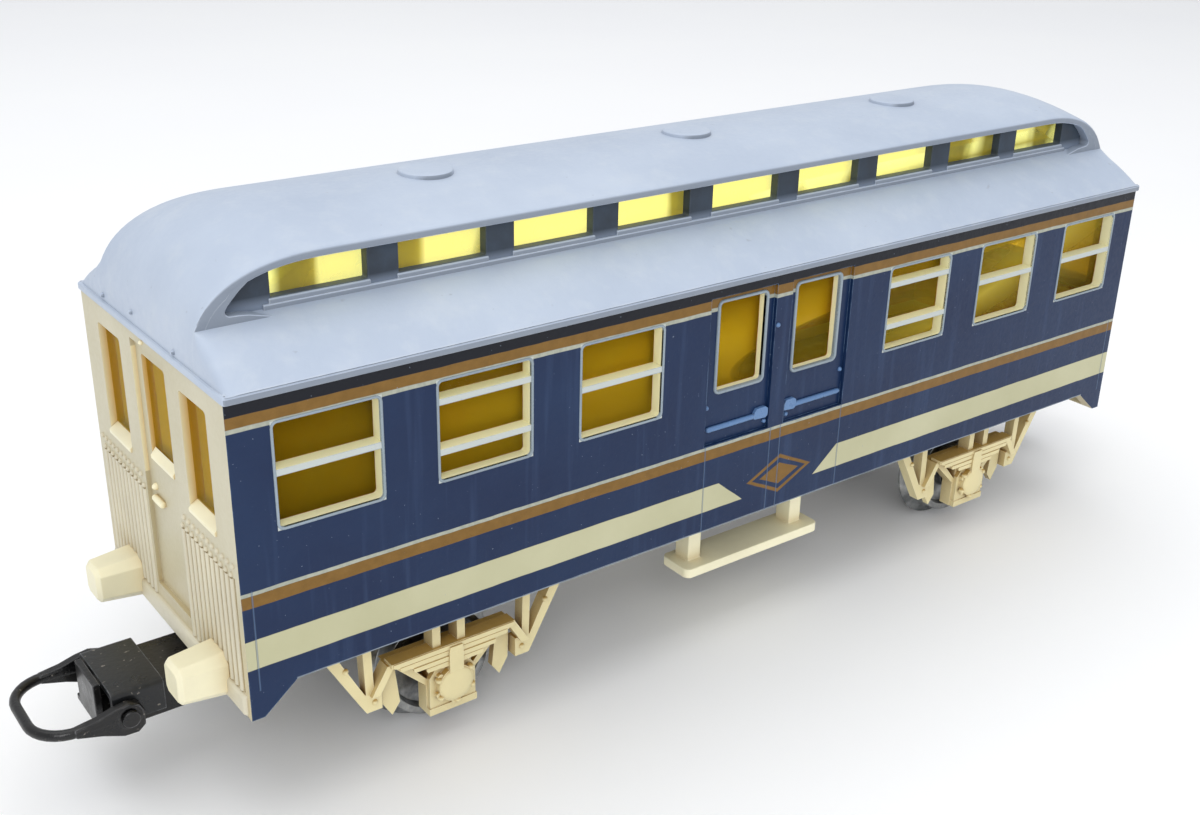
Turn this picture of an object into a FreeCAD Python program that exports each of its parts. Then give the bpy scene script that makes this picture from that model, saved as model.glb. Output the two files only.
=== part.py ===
import FreeCAD, Part
import Sketcher
import math
import os
import re

# Model passenger coach, 16.5 mm gauge. Millimetres, +X along the coach, +Z up.
# The origin lies midway between the ends, on the level of the lowest points of the wheel flanges.

SIZES = {
    # body shell
    "bodyLength": 110.0,
    "bodyWidth": 30.4,
    "sideLow": 13.9,
    "endLow": 11.4,
    "eaveLevel": 38.4,
    "wallThick": 1.3,
    "legFoot": 1.1,
    "legSpread": 4.1,
    # side windows
    "windowWidth": 8.8,
    "windowLow": 27.5,
    "windowHigh": 36.1,
    "windowFirst": 19.0,
    "windowPitch": 14.0,
    "cornerRound": 0.35,
    "barOverlap": 0.1,
    "barHeight": 0.55,
    "barSingle": 31.8,
    "barDoubleLow": 29.7,
    "barDoubleHigh": 34.1,
    # double doors
    "leafInner": 1.0,
    "leafOuter": 9.1,
    "leafLow": 22.9,
    "leafHigh": 37.5,
    "leafDepth": 0.4,
    "doorPaneInner": 2.0,
    "doorPaneOuter": 7.7,
    "doorPaneLow": 28.1,
    "doorPaneHigh": 36.8,
    # end walls
    "endDoorHalf": 3.65,
    "endDoorLow": 14.85,
    "endDoorHigh": 37.7,
    "endPaneHalf": 2.5,
    "endPaneLow": 27.6,
    "endPaneHigh": 36.6,
    "endWindowInner": 6.4,
    "endWindowOuter": 11.6,
    "plankPitch": 0.95,
    "plankGroove": 0.3,
    "plankLow": 13.6,
    "plankHigh": 23.9,
    "plankCount": 11,
    # roof
    "roofLength": 110.8,
    "roofWidth": 31.2,
    "fasciaThick": 0.7,
    "roofWall": 1.0,
    "clerestoryHalf": 9.0,
    "clerestoryFoot": 42.6,
    "lowerRoofBulge": 0.35,
    "deckHalf": 10.0,
    "deckEdge": 46.9,
    "deckCrown": 48.55,
    "deckThick": 0.8,
    "sweepStart": 43.8,
    "sweepLength": 11.1,
    "sweepBase": 40.3,
    "sweepFullness": 2.3,
    "recessEnd": 52.1,
    "openingPitch": 11.0,
    "openingWidth": 8.2,
    "openingLow": 43.4,
    "openingHigh": 46.4,
    "ventPitch": 29.25,
    "ventRadius": 2.4,
    "ventHeight": 0.35,
    # glazing
    "glassThick": 0.7,
    "glassPlay": 0.1,
    # floor and ballast
    "floorThick": 1.2,
    "floorLevel": 14.5,
    "floorGap": 0.1,
    "bossRadius": 3.3,
    "solebarHalf": 26.0,
    "solebarSide": 6.8,
    "solebarWide": 1.2,
    "solebarDeep": 2.4,
    "ballastLength": 76.0,
    "ballastWidth": 18.0,
    "ballastThick": 1.6,
    # buffers
    "bufferSide": 9.4,
    "bufferLevel": 13.4,
    "bufferBaseHalf": 2.05,
    "bufferTipHalf": 1.65,
    "bufferReach": 4.1,
    "bufferRim": 0.35,
    # wheels
    "axleSpread": 35.2,
    "axleLevel": 6.5,
    "treadRadius": 5.4,
    "flangeRadius": 6.5,
    "wheelBack": 7.2,
    "wheelWidth": 2.8,
    "hubRadius": 2.3,
    "hubProud": 0.2,
    "webInner": 2.5,
    "webOuter": 4.4,
    "webDepth": 0.85,
    "flangeEdge": 0.3,
    "axleRadius": 1.0,
    "journalRadius": 0.6,
    "journalPlay": 0.05,
    "bushRadius": 1.7,
    "axleShoulder": 0.9,
    "axleTip": 0.2,
    # axle guards
    "guardPlane": 10.7,
    "guardThick": 1.4,
    "springPlane": 13.1,
    "boxRadius": 1.75,
    "boxDrop": 0.5,
    "boltRadius": 0.28,
    "journalDepth": 1.2,
    # steps
    "stepHalf": 9.0,
    "stepOuter": 13.7,
    "stepDepth": 4.1,
    "stepLevel": 8.9,
    "stepThick": 1.0,
    "stepPost": 6.9,
    "stepPostWide": 1.6,
    "stepPostDeep": 2.0,
    "stepNosing": 1.5,
    # couplers
    "pivotSpread": 46.0,
    "pivotRadius": 1.1,
    "pivotPlay": 0.08,
    "drawbarLevel": 9.0,
    "drawbarHalf": 3.2,
    "drawbarThick": 0.7,
    "drawbarDeep": 2.6,
    "drawbarBack": 2.4,
    "flankThick": 0.6,
    "tongueLong": 3.6,
    "hookAhead": 0.9,
    "hookThick": 0.6,
    "hookRise": 1.7,
    "headFront": 62.4,
    "headBack": 58.0,
    "headHalf": 4.0,
    "headWall": 0.6,
    "headSkirt": 1.1,
    "loopPin": 61.4,
    "loopLevel": 8.5,
    "loopPinRadius": 0.45,
    "loopPlay": 0.08,
    "loopFront": 69.0,
    "loopHalf": 5.1,
    "loopBar": 0.9,
    "loopEye": 1.2,
    "loopOuterRound": 3.4,
    "loopInnerRound": 2.5,
    "pinHead": 0.35,
    "pinReach": 0.15,
    # pivot screws
    "screwHeadTall": 1.0,
    "screwThread": 3.3,
    "screwPlay": 0.3,
    "slotWide": 0.5,
    "slotDeep": 0.5,
}

doc = FreeCAD.newDocument("coach")
sheet = doc.addObject("Spreadsheet::Sheet", "Sizes")
for row, (alias, size) in enumerate(SIZES.items(), start=1):
    sheet.set("A%d" % row, alias)
    sheet.set("B%d" % row, str(size))
    sheet.setAlias("B%d" % row, alias)
doc.recompute()

ALIAS = re.compile(r"\b(%s)\b" % "|".join(SIZES))
AXIS_TURN = {
    "x": FreeCAD.Rotation(FreeCAD.Vector(0, 1, 0), 90),
    "y": FreeCAD.Rotation(FreeCAD.Vector(1, 0, 0), -90),
    "z": FreeCAD.Rotation(),
}
NORMAL = {"x": FreeCAD.Vector(1, 0, 0), "y": FreeCAD.Vector(0, 1, 0)}
ENDS = {"front": -1, "rear": 1}
SWEEP_ANGLES = (0, 12, 24, 36, 47, 57, 66, 74, 81, 86, 90)

# Outlines on an axle guard: distance along the coach from the axle, height above the flange bottom.
# The two struts, the brake shoe and the spring link are repeated on the other side of the axle.
OUTER_STRUT = ((13.1, 14.0), (11.9, 14.0), (8.5, 7.5), (6.9, 7.5), (6.9, 5.6), (8.4, 5.6))
INNER_STRUT = ((8.6, 14.0), (7.8, 14.0), (7.6, 7.3), (8.4, 7.3))
BRAKE_SHOE = ((6.6, 8.5), (5.2, 8.5), (4.8, 5.0), (5.6, 3.9), (6.5, 5.4))
SPRING_LINK = ((8.1, 7.3), (7.3, 7.3), (5.7, 9.9), (6.5, 9.9))
TOP_RAIL = ((-13.1, 13.6), (13.1, 13.6), (13.1, 14.5), (-13.1, 14.5))
PEDESTAL = ((-6.4, 9.9), (-2.5, 6.1), (-2.5, 3.1), (2.5, 3.1), (2.5, 6.1), (6.4, 9.9))
PEDESTAL_HOLE = ((3.9, 8.4), (2.2, 7.8), (2.2, 6.5))
LEAF_SPRING = ((-6.3, 10.2), (-6.3, 9.8), (-1.4, 8.0), (1.4, 8.0), (6.3, 9.8), (6.3, 10.2))
HANGERS = (
    ((-2.1, 9.8), (-1.3, 9.8), (-1.3, 14.0), (-2.1, 14.0)),
    ((0.4, 9.8), (1.2, 9.8), (1.2, 14.0), (0.4, 14.0)),
)
BUCKLE = ((-0.7, 7.4), (0.7, 7.4), (0.7, 9.6), (-0.7, 9.6))
AXLE_BOX = ((-2.4, 3.6), (2.3, 3.6), (2.3, 6.9), (1.6, 7.7), (-1.8, 7.7), (-2.4, 6.9))
PEDESTAL_FOOT = ((-2.5, 3.1), (2.4, 3.1), (2.4, 3.8), (-2.5, 3.8))
BOLT_TURNS = (25, 85, 145, 205, 265, 325)
subparts = []


def linked(text):
    """Write an expression in which every size reads its cell of the sheet."""
    return ALIAS.sub(r"Sizes.\1", str(text))


def value(text):
    """The number that an expression gives now."""
    result = sheet.evalExpression(linked(text))
    return float(getattr(result, "Value", result))


def bind(feature, **sizes):
    for name, text in sizes.items():
        feature.setExpression(name, linked(text))
    return feature


def place(feature, at, turn="z"):
    feature.Placement = FreeCAD.Placement(FreeCAD.Vector(), AXIS_TURN[turn])
    for axis, text in zip("xyz", at):
        feature.setExpression("Placement.Base." + axis, linked(text))
    return feature


def subpart(name, feature):
    """Name a finished piece; its label names its file."""
    feature.Label = name
    subparts.append(feature)
    return feature


# ---------------------------------------------------------------- primitives and booleans


def block(name, corner, size):
    """A box from its lowest corner."""
    solid = doc.addObject("Part::Box", name)
    bind(solid, Length=size[0], Width=size[1], Height=size[2])
    return place(solid, corner)


def rod(name, start, axis, radius, length):
    """A cylinder that starts at a point and runs along a row axis."""
    solid = doc.addObject("Part::Cylinder", name)
    bind(solid, Radius=radius, Height=length)
    return place(solid, start, axis)


def fuse(name, pieces):
    feature = doc.addObject("Part::MultiFuse", name)
    feature.Shapes = pieces
    feature.Refine = True
    return feature


def cut(name, base, tool):
    feature = doc.addObject("Part::Cut", name)
    feature.Base = base
    feature.Tool = tool
    feature.Refine = True
    return feature


def mirror(name, source, axis):
    """The same piece on the other side of the coach's middle plane."""
    feature = doc.addObject("Part::Mirroring", name)
    feature.Source = source
    feature.Normal = NORMAL[axis]
    return feature


def round_edges(name, base, radius, chosen):
    """Fillet the edges of a solid that a test picks."""
    doc.recompute()
    feature = doc.addObject("Part::Fillet", name)
    feature.Base = base
    size = value(radius)
    edges = enumerate(base.Shape.Edges, start=1)
    feature.Edges = [(number, size, size) for number, edge in edges if chosen(edge)]
    return feature


def runs_along(edge, axis):
    """Whether a straight edge lies along x, y or z."""
    a, b = edge.Vertexes[0].Point, edge.Vertexes[-1].Point
    return abs(getattr(b - a, axis)) > 0.999 * (b - a).Length


# ---------------------------------------------------------------- sketches and bodies


def new_body(name):
    return doc.addObject("PartDesign::Body", name)


def plane_of(body, role):
    return next(item for item in body.Origin.OriginFeatures if item.Role == role)


def sketch_on(body, role, name, offset="0"):
    """A sketch on one of the body's own planes, moved out along the plane's normal."""
    sketch = body.newObject("Sketcher::SketchObject", name)
    sketch.AttachmentSupport = (plane_of(body, role), [""])
    sketch.MapMode = "FlatFace"
    sketch.setExpression("AttachmentOffset.Base.z", linked(offset))
    return sketch


def tie(sketch, kind, edge, text):
    """Hold the start of an edge at a distance from the sketch's origin."""
    index = sketch.addConstraint(Sketcher.Constraint(kind, -1, 1, edge, 1, value(text)))
    sketch.setExpression("Constraints[%d]" % index, linked(text))


def outline(sketch, corners):
    """A closed polygon whose corners are tied to the sheet."""
    points = [FreeCAD.Vector(value(x), value(y), 0) for x, y in corners]
    first = sketch.GeometryCount
    count = len(points)
    for i in range(count):
        sketch.addGeometry(Part.LineSegment(points[i], points[(i + 1) % count]), False)
    for i in range(count):
        follower = first + (i + 1) % count
        sketch.addConstraint(Sketcher.Constraint("Coincident", first + i, 2, follower, 1))
    for i, (x, y) in enumerate(corners):
        tie(sketch, "DistanceX", first + i, x)
        tie(sketch, "DistanceY", first + i, y)


def rectangle(sketch, left, right, low, high):
    outline(sketch, [(left, low), (right, low), (right, high), (left, high)])


def circle(sketch, centre, radius):
    at = FreeCAD.Vector(value(centre[0]), value(centre[1]), 0)
    index = sketch.addGeometry(Part.Circle(at, FreeCAD.Vector(0, 0, 1), value(radius)), False)
    for kind, text in zip(("DistanceX", "DistanceY"), centre):
        where = sketch.addConstraint(Sketcher.Constraint(kind, -1, 1, index, 3, value(text)))
        sketch.setExpression("Constraints[%d]" % where, linked(text))
    where = sketch.addConstraint(Sketcher.Constraint("Radius", index, value(radius)))
    sketch.setExpression("Constraints[%d]" % where, linked(radius))


def pane(sketch, left, right, low, high, corner):
    """A rectangle with rounded corners, as four lines joined by four tangent arcs."""
    x0, x1, y0, y1, r = (value(text) for text in (left, right, low, high, corner))
    up = FreeCAD.Vector(0, 0, 1)
    lines = [
        ((x0 + r, y0), (x1 - r, y0)),
        ((x1, y0 + r), (x1, y1 - r)),
        ((x1 - r, y1), (x0 + r, y1)),
        ((x0, y1 - r), (x0, y0 + r)),
    ]
    centres = [(x1 - r, y0 + r), (x1 - r, y1 - r), (x0 + r, y1 - r), (x0 + r, y0 + r)]
    first = sketch.GeometryCount
    for turn, (line, centre) in enumerate(zip(lines, centres)):
        start, end = (FreeCAD.Vector(*point, 0) for point in line)
        sketch.addGeometry(Part.LineSegment(start, end), False)
        ring = Part.Circle(FreeCAD.Vector(*centre, 0), up, r)
        begin = math.radians(90 * turn - 90)
        sketch.addGeometry(Part.ArcOfCircle(ring, begin, begin + math.pi / 2), False)
    for turn in range(4):
        line = first + 2 * turn
        after = first + (2 * turn + 2) % 8
        sketch.addConstraint(Sketcher.Constraint("Tangent", line, 2, line + 1, 1))
        sketch.addConstraint(Sketcher.Constraint("Tangent", line + 1, 2, after, 1))
        sketch.addConstraint(Sketcher.Constraint(("Horizontal", "Vertical")[turn % 2], line))
        if turn:
            sketch.addConstraint(Sketcher.Constraint("Equal", first + 1, line + 1))
    where = sketch.addConstraint(Sketcher.Constraint("Radius", first + 1, r))
    sketch.setExpression("Constraints[%d]" % where, linked(corner))
    tie(sketch, "DistanceY", first, low)
    tie(sketch, "DistanceX", first + 2, right)
    tie(sketch, "DistanceY", first + 4, high)
    tie(sketch, "DistanceX", first + 6, left)


def pad(body, name, sketch, length, side="One side", inward=False):
    feature = body.newObject("PartDesign::Pad", name)
    feature.Profile = sketch
    feature.SideType = side
    feature.Reversed = inward
    return bind(feature, Length=length)


def pocket(body, name, sketch, depth, side="One side"):
    """A cut; from a sketch on a face it goes back into the body."""
    feature = body.newObject("PartDesign::Pocket", name)
    feature.Profile = sketch
    feature.SideType = side
    return bind(feature, Length=depth)


def repeat(body, name, originals, planes, step=None):
    """Repeat features along a step, then mirror them across the body's own planes."""
    feature = body.newObject("PartDesign::MultiTransform", name)
    feature.Originals = originals
    stages = []
    if step:
        sketch, axis, pitch, count = step
        row = body.newObject("PartDesign::LinearPattern", name + "_row")
        row.Direction = (sketch, [axis])
        row.Occurrences = count
        bind(row, Length="%s * %d" % (pitch, count - 1))
        stages.append(row)
    for role in planes:
        flip = body.newObject("PartDesign::Mirrored", name + "_" + role)
        flip.MirrorPlane = (plane_of(body, role), [""])
        stages.append(flip)
    feature.Transformations = stages
    body.Tip = feature
    return feature


def slab(body, name, outlines, start, thick):
    """Pad closed outlines outwards from a plane parallel to the coach's side."""
    sketch = sketch_on(body, "XZ_Plane", name + "_sketch", start)
    for corners in outlines:
        outline(sketch, corners)
    return pad(body, name, sketch, thick)


# ---------------------------------------------------------------- body shell


def make_body_shell():
    body = new_body("body_shell")
    half = "bodyLength / 2"

    side = sketch_on(body, "XZ_Plane", "side_outline")
    foot = "%s - legFoot" % half
    spread = "%s - legSpread" % half
    outline(side, [
        ("-(%s)" % half, "endLow"), ("-(%s)" % foot, "endLow"), ("-(%s)" % spread, "sideLow"),
        (spread, "sideLow"), (foot, "endLow"), (half, "endLow"),
        (half, "eaveLevel"), ("-(%s)" % half, "eaveLevel"),
    ])
    pad(body, "shell_block", side, "bodyWidth", "Symmetric")

    saloon = sketch_on(body, "XY_Plane", "saloon_outline")
    inner_x = "bodyLength / 2 - wallThick"
    inner_y = "bodyWidth / 2 - wallThick"
    rectangle(saloon, "-(%s)" % inner_x, inner_x, "-(%s)" % inner_y, inner_y)
    pocket(body, "saloon", saloon, "4 * eaveLevel", "Symmetric")

    windows = sketch_on(body, "XZ_Plane", "window_outlines")
    for number in range(3):
        centre = "(windowFirst + %d * windowPitch)" % number
        for sign in "+-":
            left = "%s%s - windowWidth / 2" % (sign, centre)
            right = "%s%s + windowWidth / 2" % (sign, centre)
            pane(windows, left, right, "windowLow", "windowHigh", "cornerRound")
    pane(windows, "doorPaneInner", "doorPaneOuter", "doorPaneLow", "doorPaneHigh", "cornerRound")
    pane(windows, "-doorPaneOuter", "-doorPaneInner", "doorPaneLow", "doorPaneHigh", "cornerRound")
    pocket(body, "side_windows", windows, "2 * bodyWidth", "Symmetric")

    ends = sketch_on(body, "YZ_Plane", "end_window_outlines")
    pane(ends, "-endPaneHalf", "endPaneHalf", "endPaneLow", "endPaneHigh", "cornerRound")
    for left, right in (("endWindowInner", "endWindowOuter"), ("-endWindowOuter", "-endWindowInner")):
        pane(ends, left, right, "endPaneLow - 1", "endPaneHigh", "cornerRound")
    pocket(body, "end_windows", ends, "2 * bodyLength", "Symmetric")

    leaves = sketch_on(body, "XZ_Plane", "door_leaf_outlines", "bodyWidth / 2")
    rectangle(leaves, "leafInner", "leafOuter", "leafLow", "leafHigh")
    rectangle(leaves, "-leafOuter", "-leafInner", "leafLow", "leafHigh")
    leaf_cut = pocket(body, "door_leaves", leaves, "leafDepth")
    repeat(body, "both_door_pairs", [leaf_cut], ["XZ_Plane"])

    end_door = sketch_on(body, "YZ_Plane", "end_door_outline", half)
    rectangle(end_door, "-endDoorHalf", "endDoorHalf", "endDoorLow", "endDoorHigh")
    door_cut = pocket(body, "end_door", end_door, "leafDepth")
    repeat(body, "both_end_doors", [door_cut], ["YZ_Plane"])

    bars = sketch_on(body, "XZ_Plane", "bar_outlines", "bodyWidth / 2")
    single = [-3, -1, 2, 3]
    double = [-2, 1]
    for window in single + double:
        levels = ["barSingle"] if window in single else ["barDoubleLow", "barDoubleHigh"]
        sign = "-" if window < 0 else ""
        centre = "%s(windowFirst + %d * windowPitch)" % (sign, abs(window) - 1)
        for level in levels:
            left = "%s - windowWidth / 2 - barOverlap" % centre
            right = "%s + windowWidth / 2 + barOverlap" % centre
            rectangle(bars, left, right, level, "%s + barHeight" % level)
    bar_pad = pad(body, "window_bars", bars, "wallThick", inward=True)
    repeat(body, "both_bar_sets", [bar_pad], ["XZ_Plane"])

    plank = sketch_on(body, "YZ_Plane", "plank_groove_outline", half)
    first_groove = "endDoorHalf + plankPitch"
    rectangle(plank, first_groove, "%s + plankGroove" % first_groove, "plankLow", "plankHigh")
    groove = pocket(body, "plank_groove", plank, "plankGroove / 2")
    step = (plank, "H_Axis", "plankPitch", int(value("plankCount")))
    repeat(body, "end_planking", [groove], ["XZ_Plane", "YZ_Plane"], step)
    return subpart("body_shell", body)


# ---------------------------------------------------------------- roof


def box_shape(x0, x1, y0, y1, z0, z1):
    return Part.makeBox(x1 - x0, y1 - y0, z1 - z0, FreeCAD.Vector(x0, y0, z0))


def sweep_level(x, drop):
    """How much of the deck's height is left at x, where both ends curve down to the eaves."""
    past = abs(x) - value("sweepStart")
    reach = value("sweepLength") - drop
    fullness = value("sweepFullness")
    return (1 - min(max(past / reach, 0.0), 1.0) ** fullness) ** (1 / fullness)


def sweep_stations(drop):
    """Places along the end curve, closer together where it falls away faster."""
    reach = value("sweepLength") - drop
    turns = [math.radians(angle) for angle in SWEEP_ANGLES]
    return [value("sweepStart") + reach * math.sin(turn) for turn in turns]


def deck_section(x, half, drop):
    """The arched outline of the raised deck at one place along the coach."""
    base = value("sweepBase")
    low = value("eaveLevel")
    edge = base + (value("deckEdge") - drop - base) * sweep_level(x, drop)
    crown = base + (value("deckCrown") - drop - base) * sweep_level(x, drop)
    # the arch passes through the deck's edge, and a wider section carries it on outwards
    widen = (half / value("deckHalf")) ** 2
    edge = crown - (crown - edge) * widen
    foot = [FreeCAD.Vector(x, y, low) for y in (-half, half)]
    rim = [FreeCAD.Vector(x, y, edge) for y in (-half, half)]
    arch = Part.Arc(rim[0], FreeCAD.Vector(x, 0, crown), rim[1]).toShape()
    sides = [Part.makeLine(foot[0], rim[0]), Part.makeLine(rim[1], foot[1])]
    return Part.Wire([sides[0], arch, sides[1], Part.makeLine(foot[1], foot[0])])


def deck_volume(half, drop):
    """Everything under the deck's surface, or under a surface that much lower."""
    start = value("sweepStart")
    stations = sweep_stations(drop)[:-1]
    middle = Part.Face(deck_section(-start, half, drop)).extrude(FreeCAD.Vector(2 * start, 0, 0))
    for end in (-1, 1):
        sections = [deck_section(end * x, half, drop) for x in stations]
        middle = middle.fuse(Part.makeLoft(sections, True, False))
    return middle.removeSplitter()


def lower_roof_volume(drop):
    """The sloping roof from eaves to clerestory, as wide as the coach, without its end sweep."""
    outer = value("roofWidth") / 2 - drop
    inner = value("clerestoryHalf")
    low = value("eaveLevel")
    rim = low + value("fasciaThick") - drop / 2
    top = value("clerestoryFoot") - drop
    long = value("roofLength") / 2 - drop
    middle_y = (outer + inner) / 2
    middle_z = (rim + top) / 2 + value("lowerRoofBulge")

    def at(y, z):
        return FreeCAD.Vector(-long, y, z)

    right = Part.Arc(at(outer, rim), at(middle_y, middle_z), at(inner, top)).toShape()
    left = Part.Arc(at(-inner, top), at(-middle_y, middle_z), at(-outer, rim)).toShape()
    ring = [
        Part.makeLine(at(-outer, low), at(outer, low)), Part.makeLine(at(outer, low), at(outer, rim)),
        right, Part.makeLine(at(inner, top), at(-inner, top)),
        left, Part.makeLine(at(-outer, rim), at(-outer, low)),
    ]
    return Part.Face(Part.Wire(ring)).extrude(FreeCAD.Vector(2 * long, 0, 0))


def end_sweep_volume(drop):
    """A wide block whose two ends are rounded down to the eaves along the same curve."""
    base = value("sweepBase")
    rise = value("deckEdge") - drop - base
    wide = value("roofWidth")
    low = value("eaveLevel") - 1

    def at(x, z):
        return FreeCAD.Vector(x, -wide / 2, z)

    points = [at(x, base + rise * sweep_level(x, drop)) for x in sweep_stations(drop)]
    curve = Part.BSplineCurve()
    curve.interpolate(points)
    top, tip = points[0], points[-1]
    over, inside, corner = at(0, base + rise), at(0, low), at(tip.x, low)
    lines = [(over, top), (tip, corner), (corner, inside), (inside, over)]
    ring = Part.Wire(Part.__sortEdges__([curve.toShape()] + [Part.makeLine(a, b) for a, b in lines]))
    half = Part.Face(ring).extrude(FreeCAD.Vector(0, wide, 0))
    other = half.mirror(FreeCAD.Vector(), FreeCAD.Vector(1, 0, 0))
    return half.fuse(other).removeSplitter()


def make_roof():
    wall = value("roofWall")
    low = value("eaveLevel")
    long, wide = value("roofLength") / 2, value("roofWidth") / 2
    clerestory = value("clerestoryHalf")
    well = clerestory - wall
    foot = value("clerestoryFoot")

    slopes = lower_roof_volume(0).common(end_sweep_volume(0))
    hollow = lower_roof_volume(wall).common(end_sweep_volume(wall))
    slopes = slopes.cut(hollow)
    eaves = box_shape(-long, long, -wide, wide, low, low + value("fasciaThick"))
    body_x = value("bodyLength / 2 - wallThick")
    body_y = value("bodyWidth / 2 - wallThick")
    eaves = eaves.cut(box_shape(-body_x, body_x, -body_y, body_y, low - 1, low + 2))

    outside = deck_volume(value("deckHalf"), 0)
    inside = deck_volume(value("deckHalf") + 1, value("deckThick"))
    deck = outside.cut(inside)
    wall_end = value("sweepStart + sweepLength") - wall
    walls = box_shape(-wall_end, wall_end, -clerestory, clerestory, foot - wall, value("deckCrown"))
    walls = walls.cut(box_shape(-wall_end, wall_end, -well, well, low, value("deckCrown") + 1))
    walls = walls.common(outside)

    # solid cheeks close the space under the lip beyond the last opening
    deck_half, crown = value("deckHalf"), value("deckCrown")
    cheek = box_shape(value("recessEnd"), wall_end, clerestory, deck_half, foot - wall, crown)
    cheeks = []
    for turned_cheek in (cheek, cheek.mirror(FreeCAD.Vector(), NORMAL["y"])):
        cheeks += [turned_cheek, turned_cheek.mirror(FreeCAD.Vector(), NORMAL["x"])]
    cheeks = [piece.common(outside) for piece in cheeks]

    shape = slopes.fuse([eaves, deck, walls] + cheeks)
    reach = value("4.5 * openingPitch + openingWidth / 2 - openingPitch / 2") + wall
    shape = shape.cut(box_shape(-reach, reach, -well, well, low, foot))
    for number in range(-4, 5):
        x = number * value("openingPitch")
        half = value("openingWidth") / 2
        opening = box_shape(x - half, x + half, -wide, wide, value("openingLow"), value("openingHigh"))
        shape = shape.cut(opening)
    for number in (-1, 0, 1):
        at = FreeCAD.Vector(number * value("ventPitch"), 0, value("deckCrown - deckThick"))
        height = value("deckThick + ventHeight")
        shape = shape.fuse(Part.makeCylinder(value("ventRadius"), height, at))
    shape = shape.removeSplitter()

    roof = doc.addObject("Part::Feature", "roof")
    roof.Shape = shape
    roof.Placement = FreeCAD.Placement()
    return subpart("roof", roof)


# ---------------------------------------------------------------- glazing


def make_glazing():
    inner_y = "(bodyWidth / 2 - wallThick)"
    inner_x = "(bodyLength / 2 - wallThick)"
    long = "(windowFirst + 2 * windowPitch + windowWidth / 2 + 1)"
    tall = "(endPaneHigh - windowLow + 1.6)"
    low = "windowLow - 0.8"
    left = block("side_pane", ("-" + long, "-" + inner_y, low), ("2 * " + long, "glassThick", tall))
    subpart("side_glazing_left", left)
    subpart("side_glazing_right", mirror("side_pane_right", left, "y"))

    half = "(endWindowOuter + 0.8)"
    front = block("end_pane", ("-" + inner_x, "-" + half, "endPaneLow - 1.8"),
                  ("glassThick", "2 * " + half, "endPaneHigh - endPaneLow + 2.6"))
    subpart("end_glazing_front", front)
    subpart("end_glazing_rear", mirror("end_pane_rear", front, "x"))

    reach = value("4 * openingPitch + openingWidth / 2 + roofWall")
    outer = value("clerestoryHalf - roofWall")
    strip_shape = box_shape(-reach, reach, -outer, -outer + value("glassThick"),
                            value("openingLow - roofWall / 2"), value("openingHigh"))
    strip = doc.addObject("Part::Feature", "clerestory_pane")
    strip.Shape = strip_shape.common(deck_volume(value("deckHalf"), value("deckThick + glassPlay")))
    subpart("clerestory_glazing_left", strip)
    subpart("clerestory_glazing_right", mirror("clerestory_pane_right", strip, "y"))


# ---------------------------------------------------------------- floor and ballast


def make_floor():
    half_x = "(bodyLength / 2 - wallThick - floorGap)"
    half_y = "(bodyWidth / 2 - wallThick - floorGap)"
    plate = block("floor_plate", ("-" + half_x, "-" + half_y, "floorLevel"),
                  ("2 * " + half_x, "2 * " + half_y, "floorThick"))
    pieces = [plate]
    holes = []
    boss_low = "drawbarLevel + drawbarThick + screwPlay"
    for end, sign in ENDS.items():
        x = "%d * pivotSpread" % sign
        tall = "floorLevel - (%s) + floorThick / 2" % boss_low
        pieces.append(rod("coupler_boss_" + end, (x, "0", boss_low), "z", "bossRadius", tall))
        deep = "screwThread + floorGap"
        holes.append(rod("screw_hole_" + end, (x, "0", boss_low), "z", "0.75 * pivotRadius", deep))
    # two solebars stiffen the plate between the axle guards
    for side in "-+":
        corner = ("-solebarHalf", side + "solebarSide - solebarWide / 2", "floorLevel - solebarDeep")
        size = ("2 * solebarHalf", "solebarWide", "solebarDeep + floorThick / 2")
        pieces.append(block("solebar", corner, size))
    whole = fuse("floor_whole", pieces)
    subpart("chassis_floor", cut("chassis_floor", whole, fuse("screw_holes", holes)))

    ballast = block("ballast_weight", ("-ballastLength / 2", "-ballastWidth / 2", "floorLevel + floorThick"),
                    ("ballastLength", "ballastWidth", "ballastThick"))
    subpart("ballast_weight", ballast)


# ---------------------------------------------------------------- buffers


def make_buffers():
    body = new_body("buffer_body")
    sketch = sketch_on(body, "YZ_Plane", "buffer_octagon", "bodyLength / 2")
    flat = "bufferBaseHalf * 0.6"
    corners = [
        (flat, "-bufferBaseHalf"), ("bufferBaseHalf", "-%s" % flat), ("bufferBaseHalf", flat),
        (flat, "bufferBaseHalf"), ("-%s" % flat, "bufferBaseHalf"), ("-bufferBaseHalf", flat),
        ("-bufferBaseHalf", "-%s" % flat), ("-%s" % flat, "-bufferBaseHalf"),
    ]
    outline(sketch, [("%s - bufferSide" % y, "%s + bufferLevel" % z) for y, z in corners])
    block_pad = pad(body, "buffer_block", sketch, "bufferReach")
    bind(block_pad, TaperAngle="-atan((bufferBaseHalf - bufferTipHalf) / bufferReach)")
    doc.recompute()
    tip = max(range(len(block_pad.Shape.Faces)), key=lambda i: block_pad.Shape.Faces[i].CenterOfMass.x)
    rim = body.newObject("PartDesign::Chamfer", "buffer_rim")
    rim.Base = (block_pad, ["Face%d" % (tip + 1)])
    bind(rim, Size="bufferRim")
    subpart("buffer_rear_left", body)
    right = mirror("buffer_rear_right", body, "y")
    subpart("buffer_rear_right", right)
    subpart("buffer_front_left", mirror("buffer_front_left", body, "x"))
    subpart("buffer_front_right", mirror("buffer_front_right", right, "x"))


# ---------------------------------------------------------------- wheelsets


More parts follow.
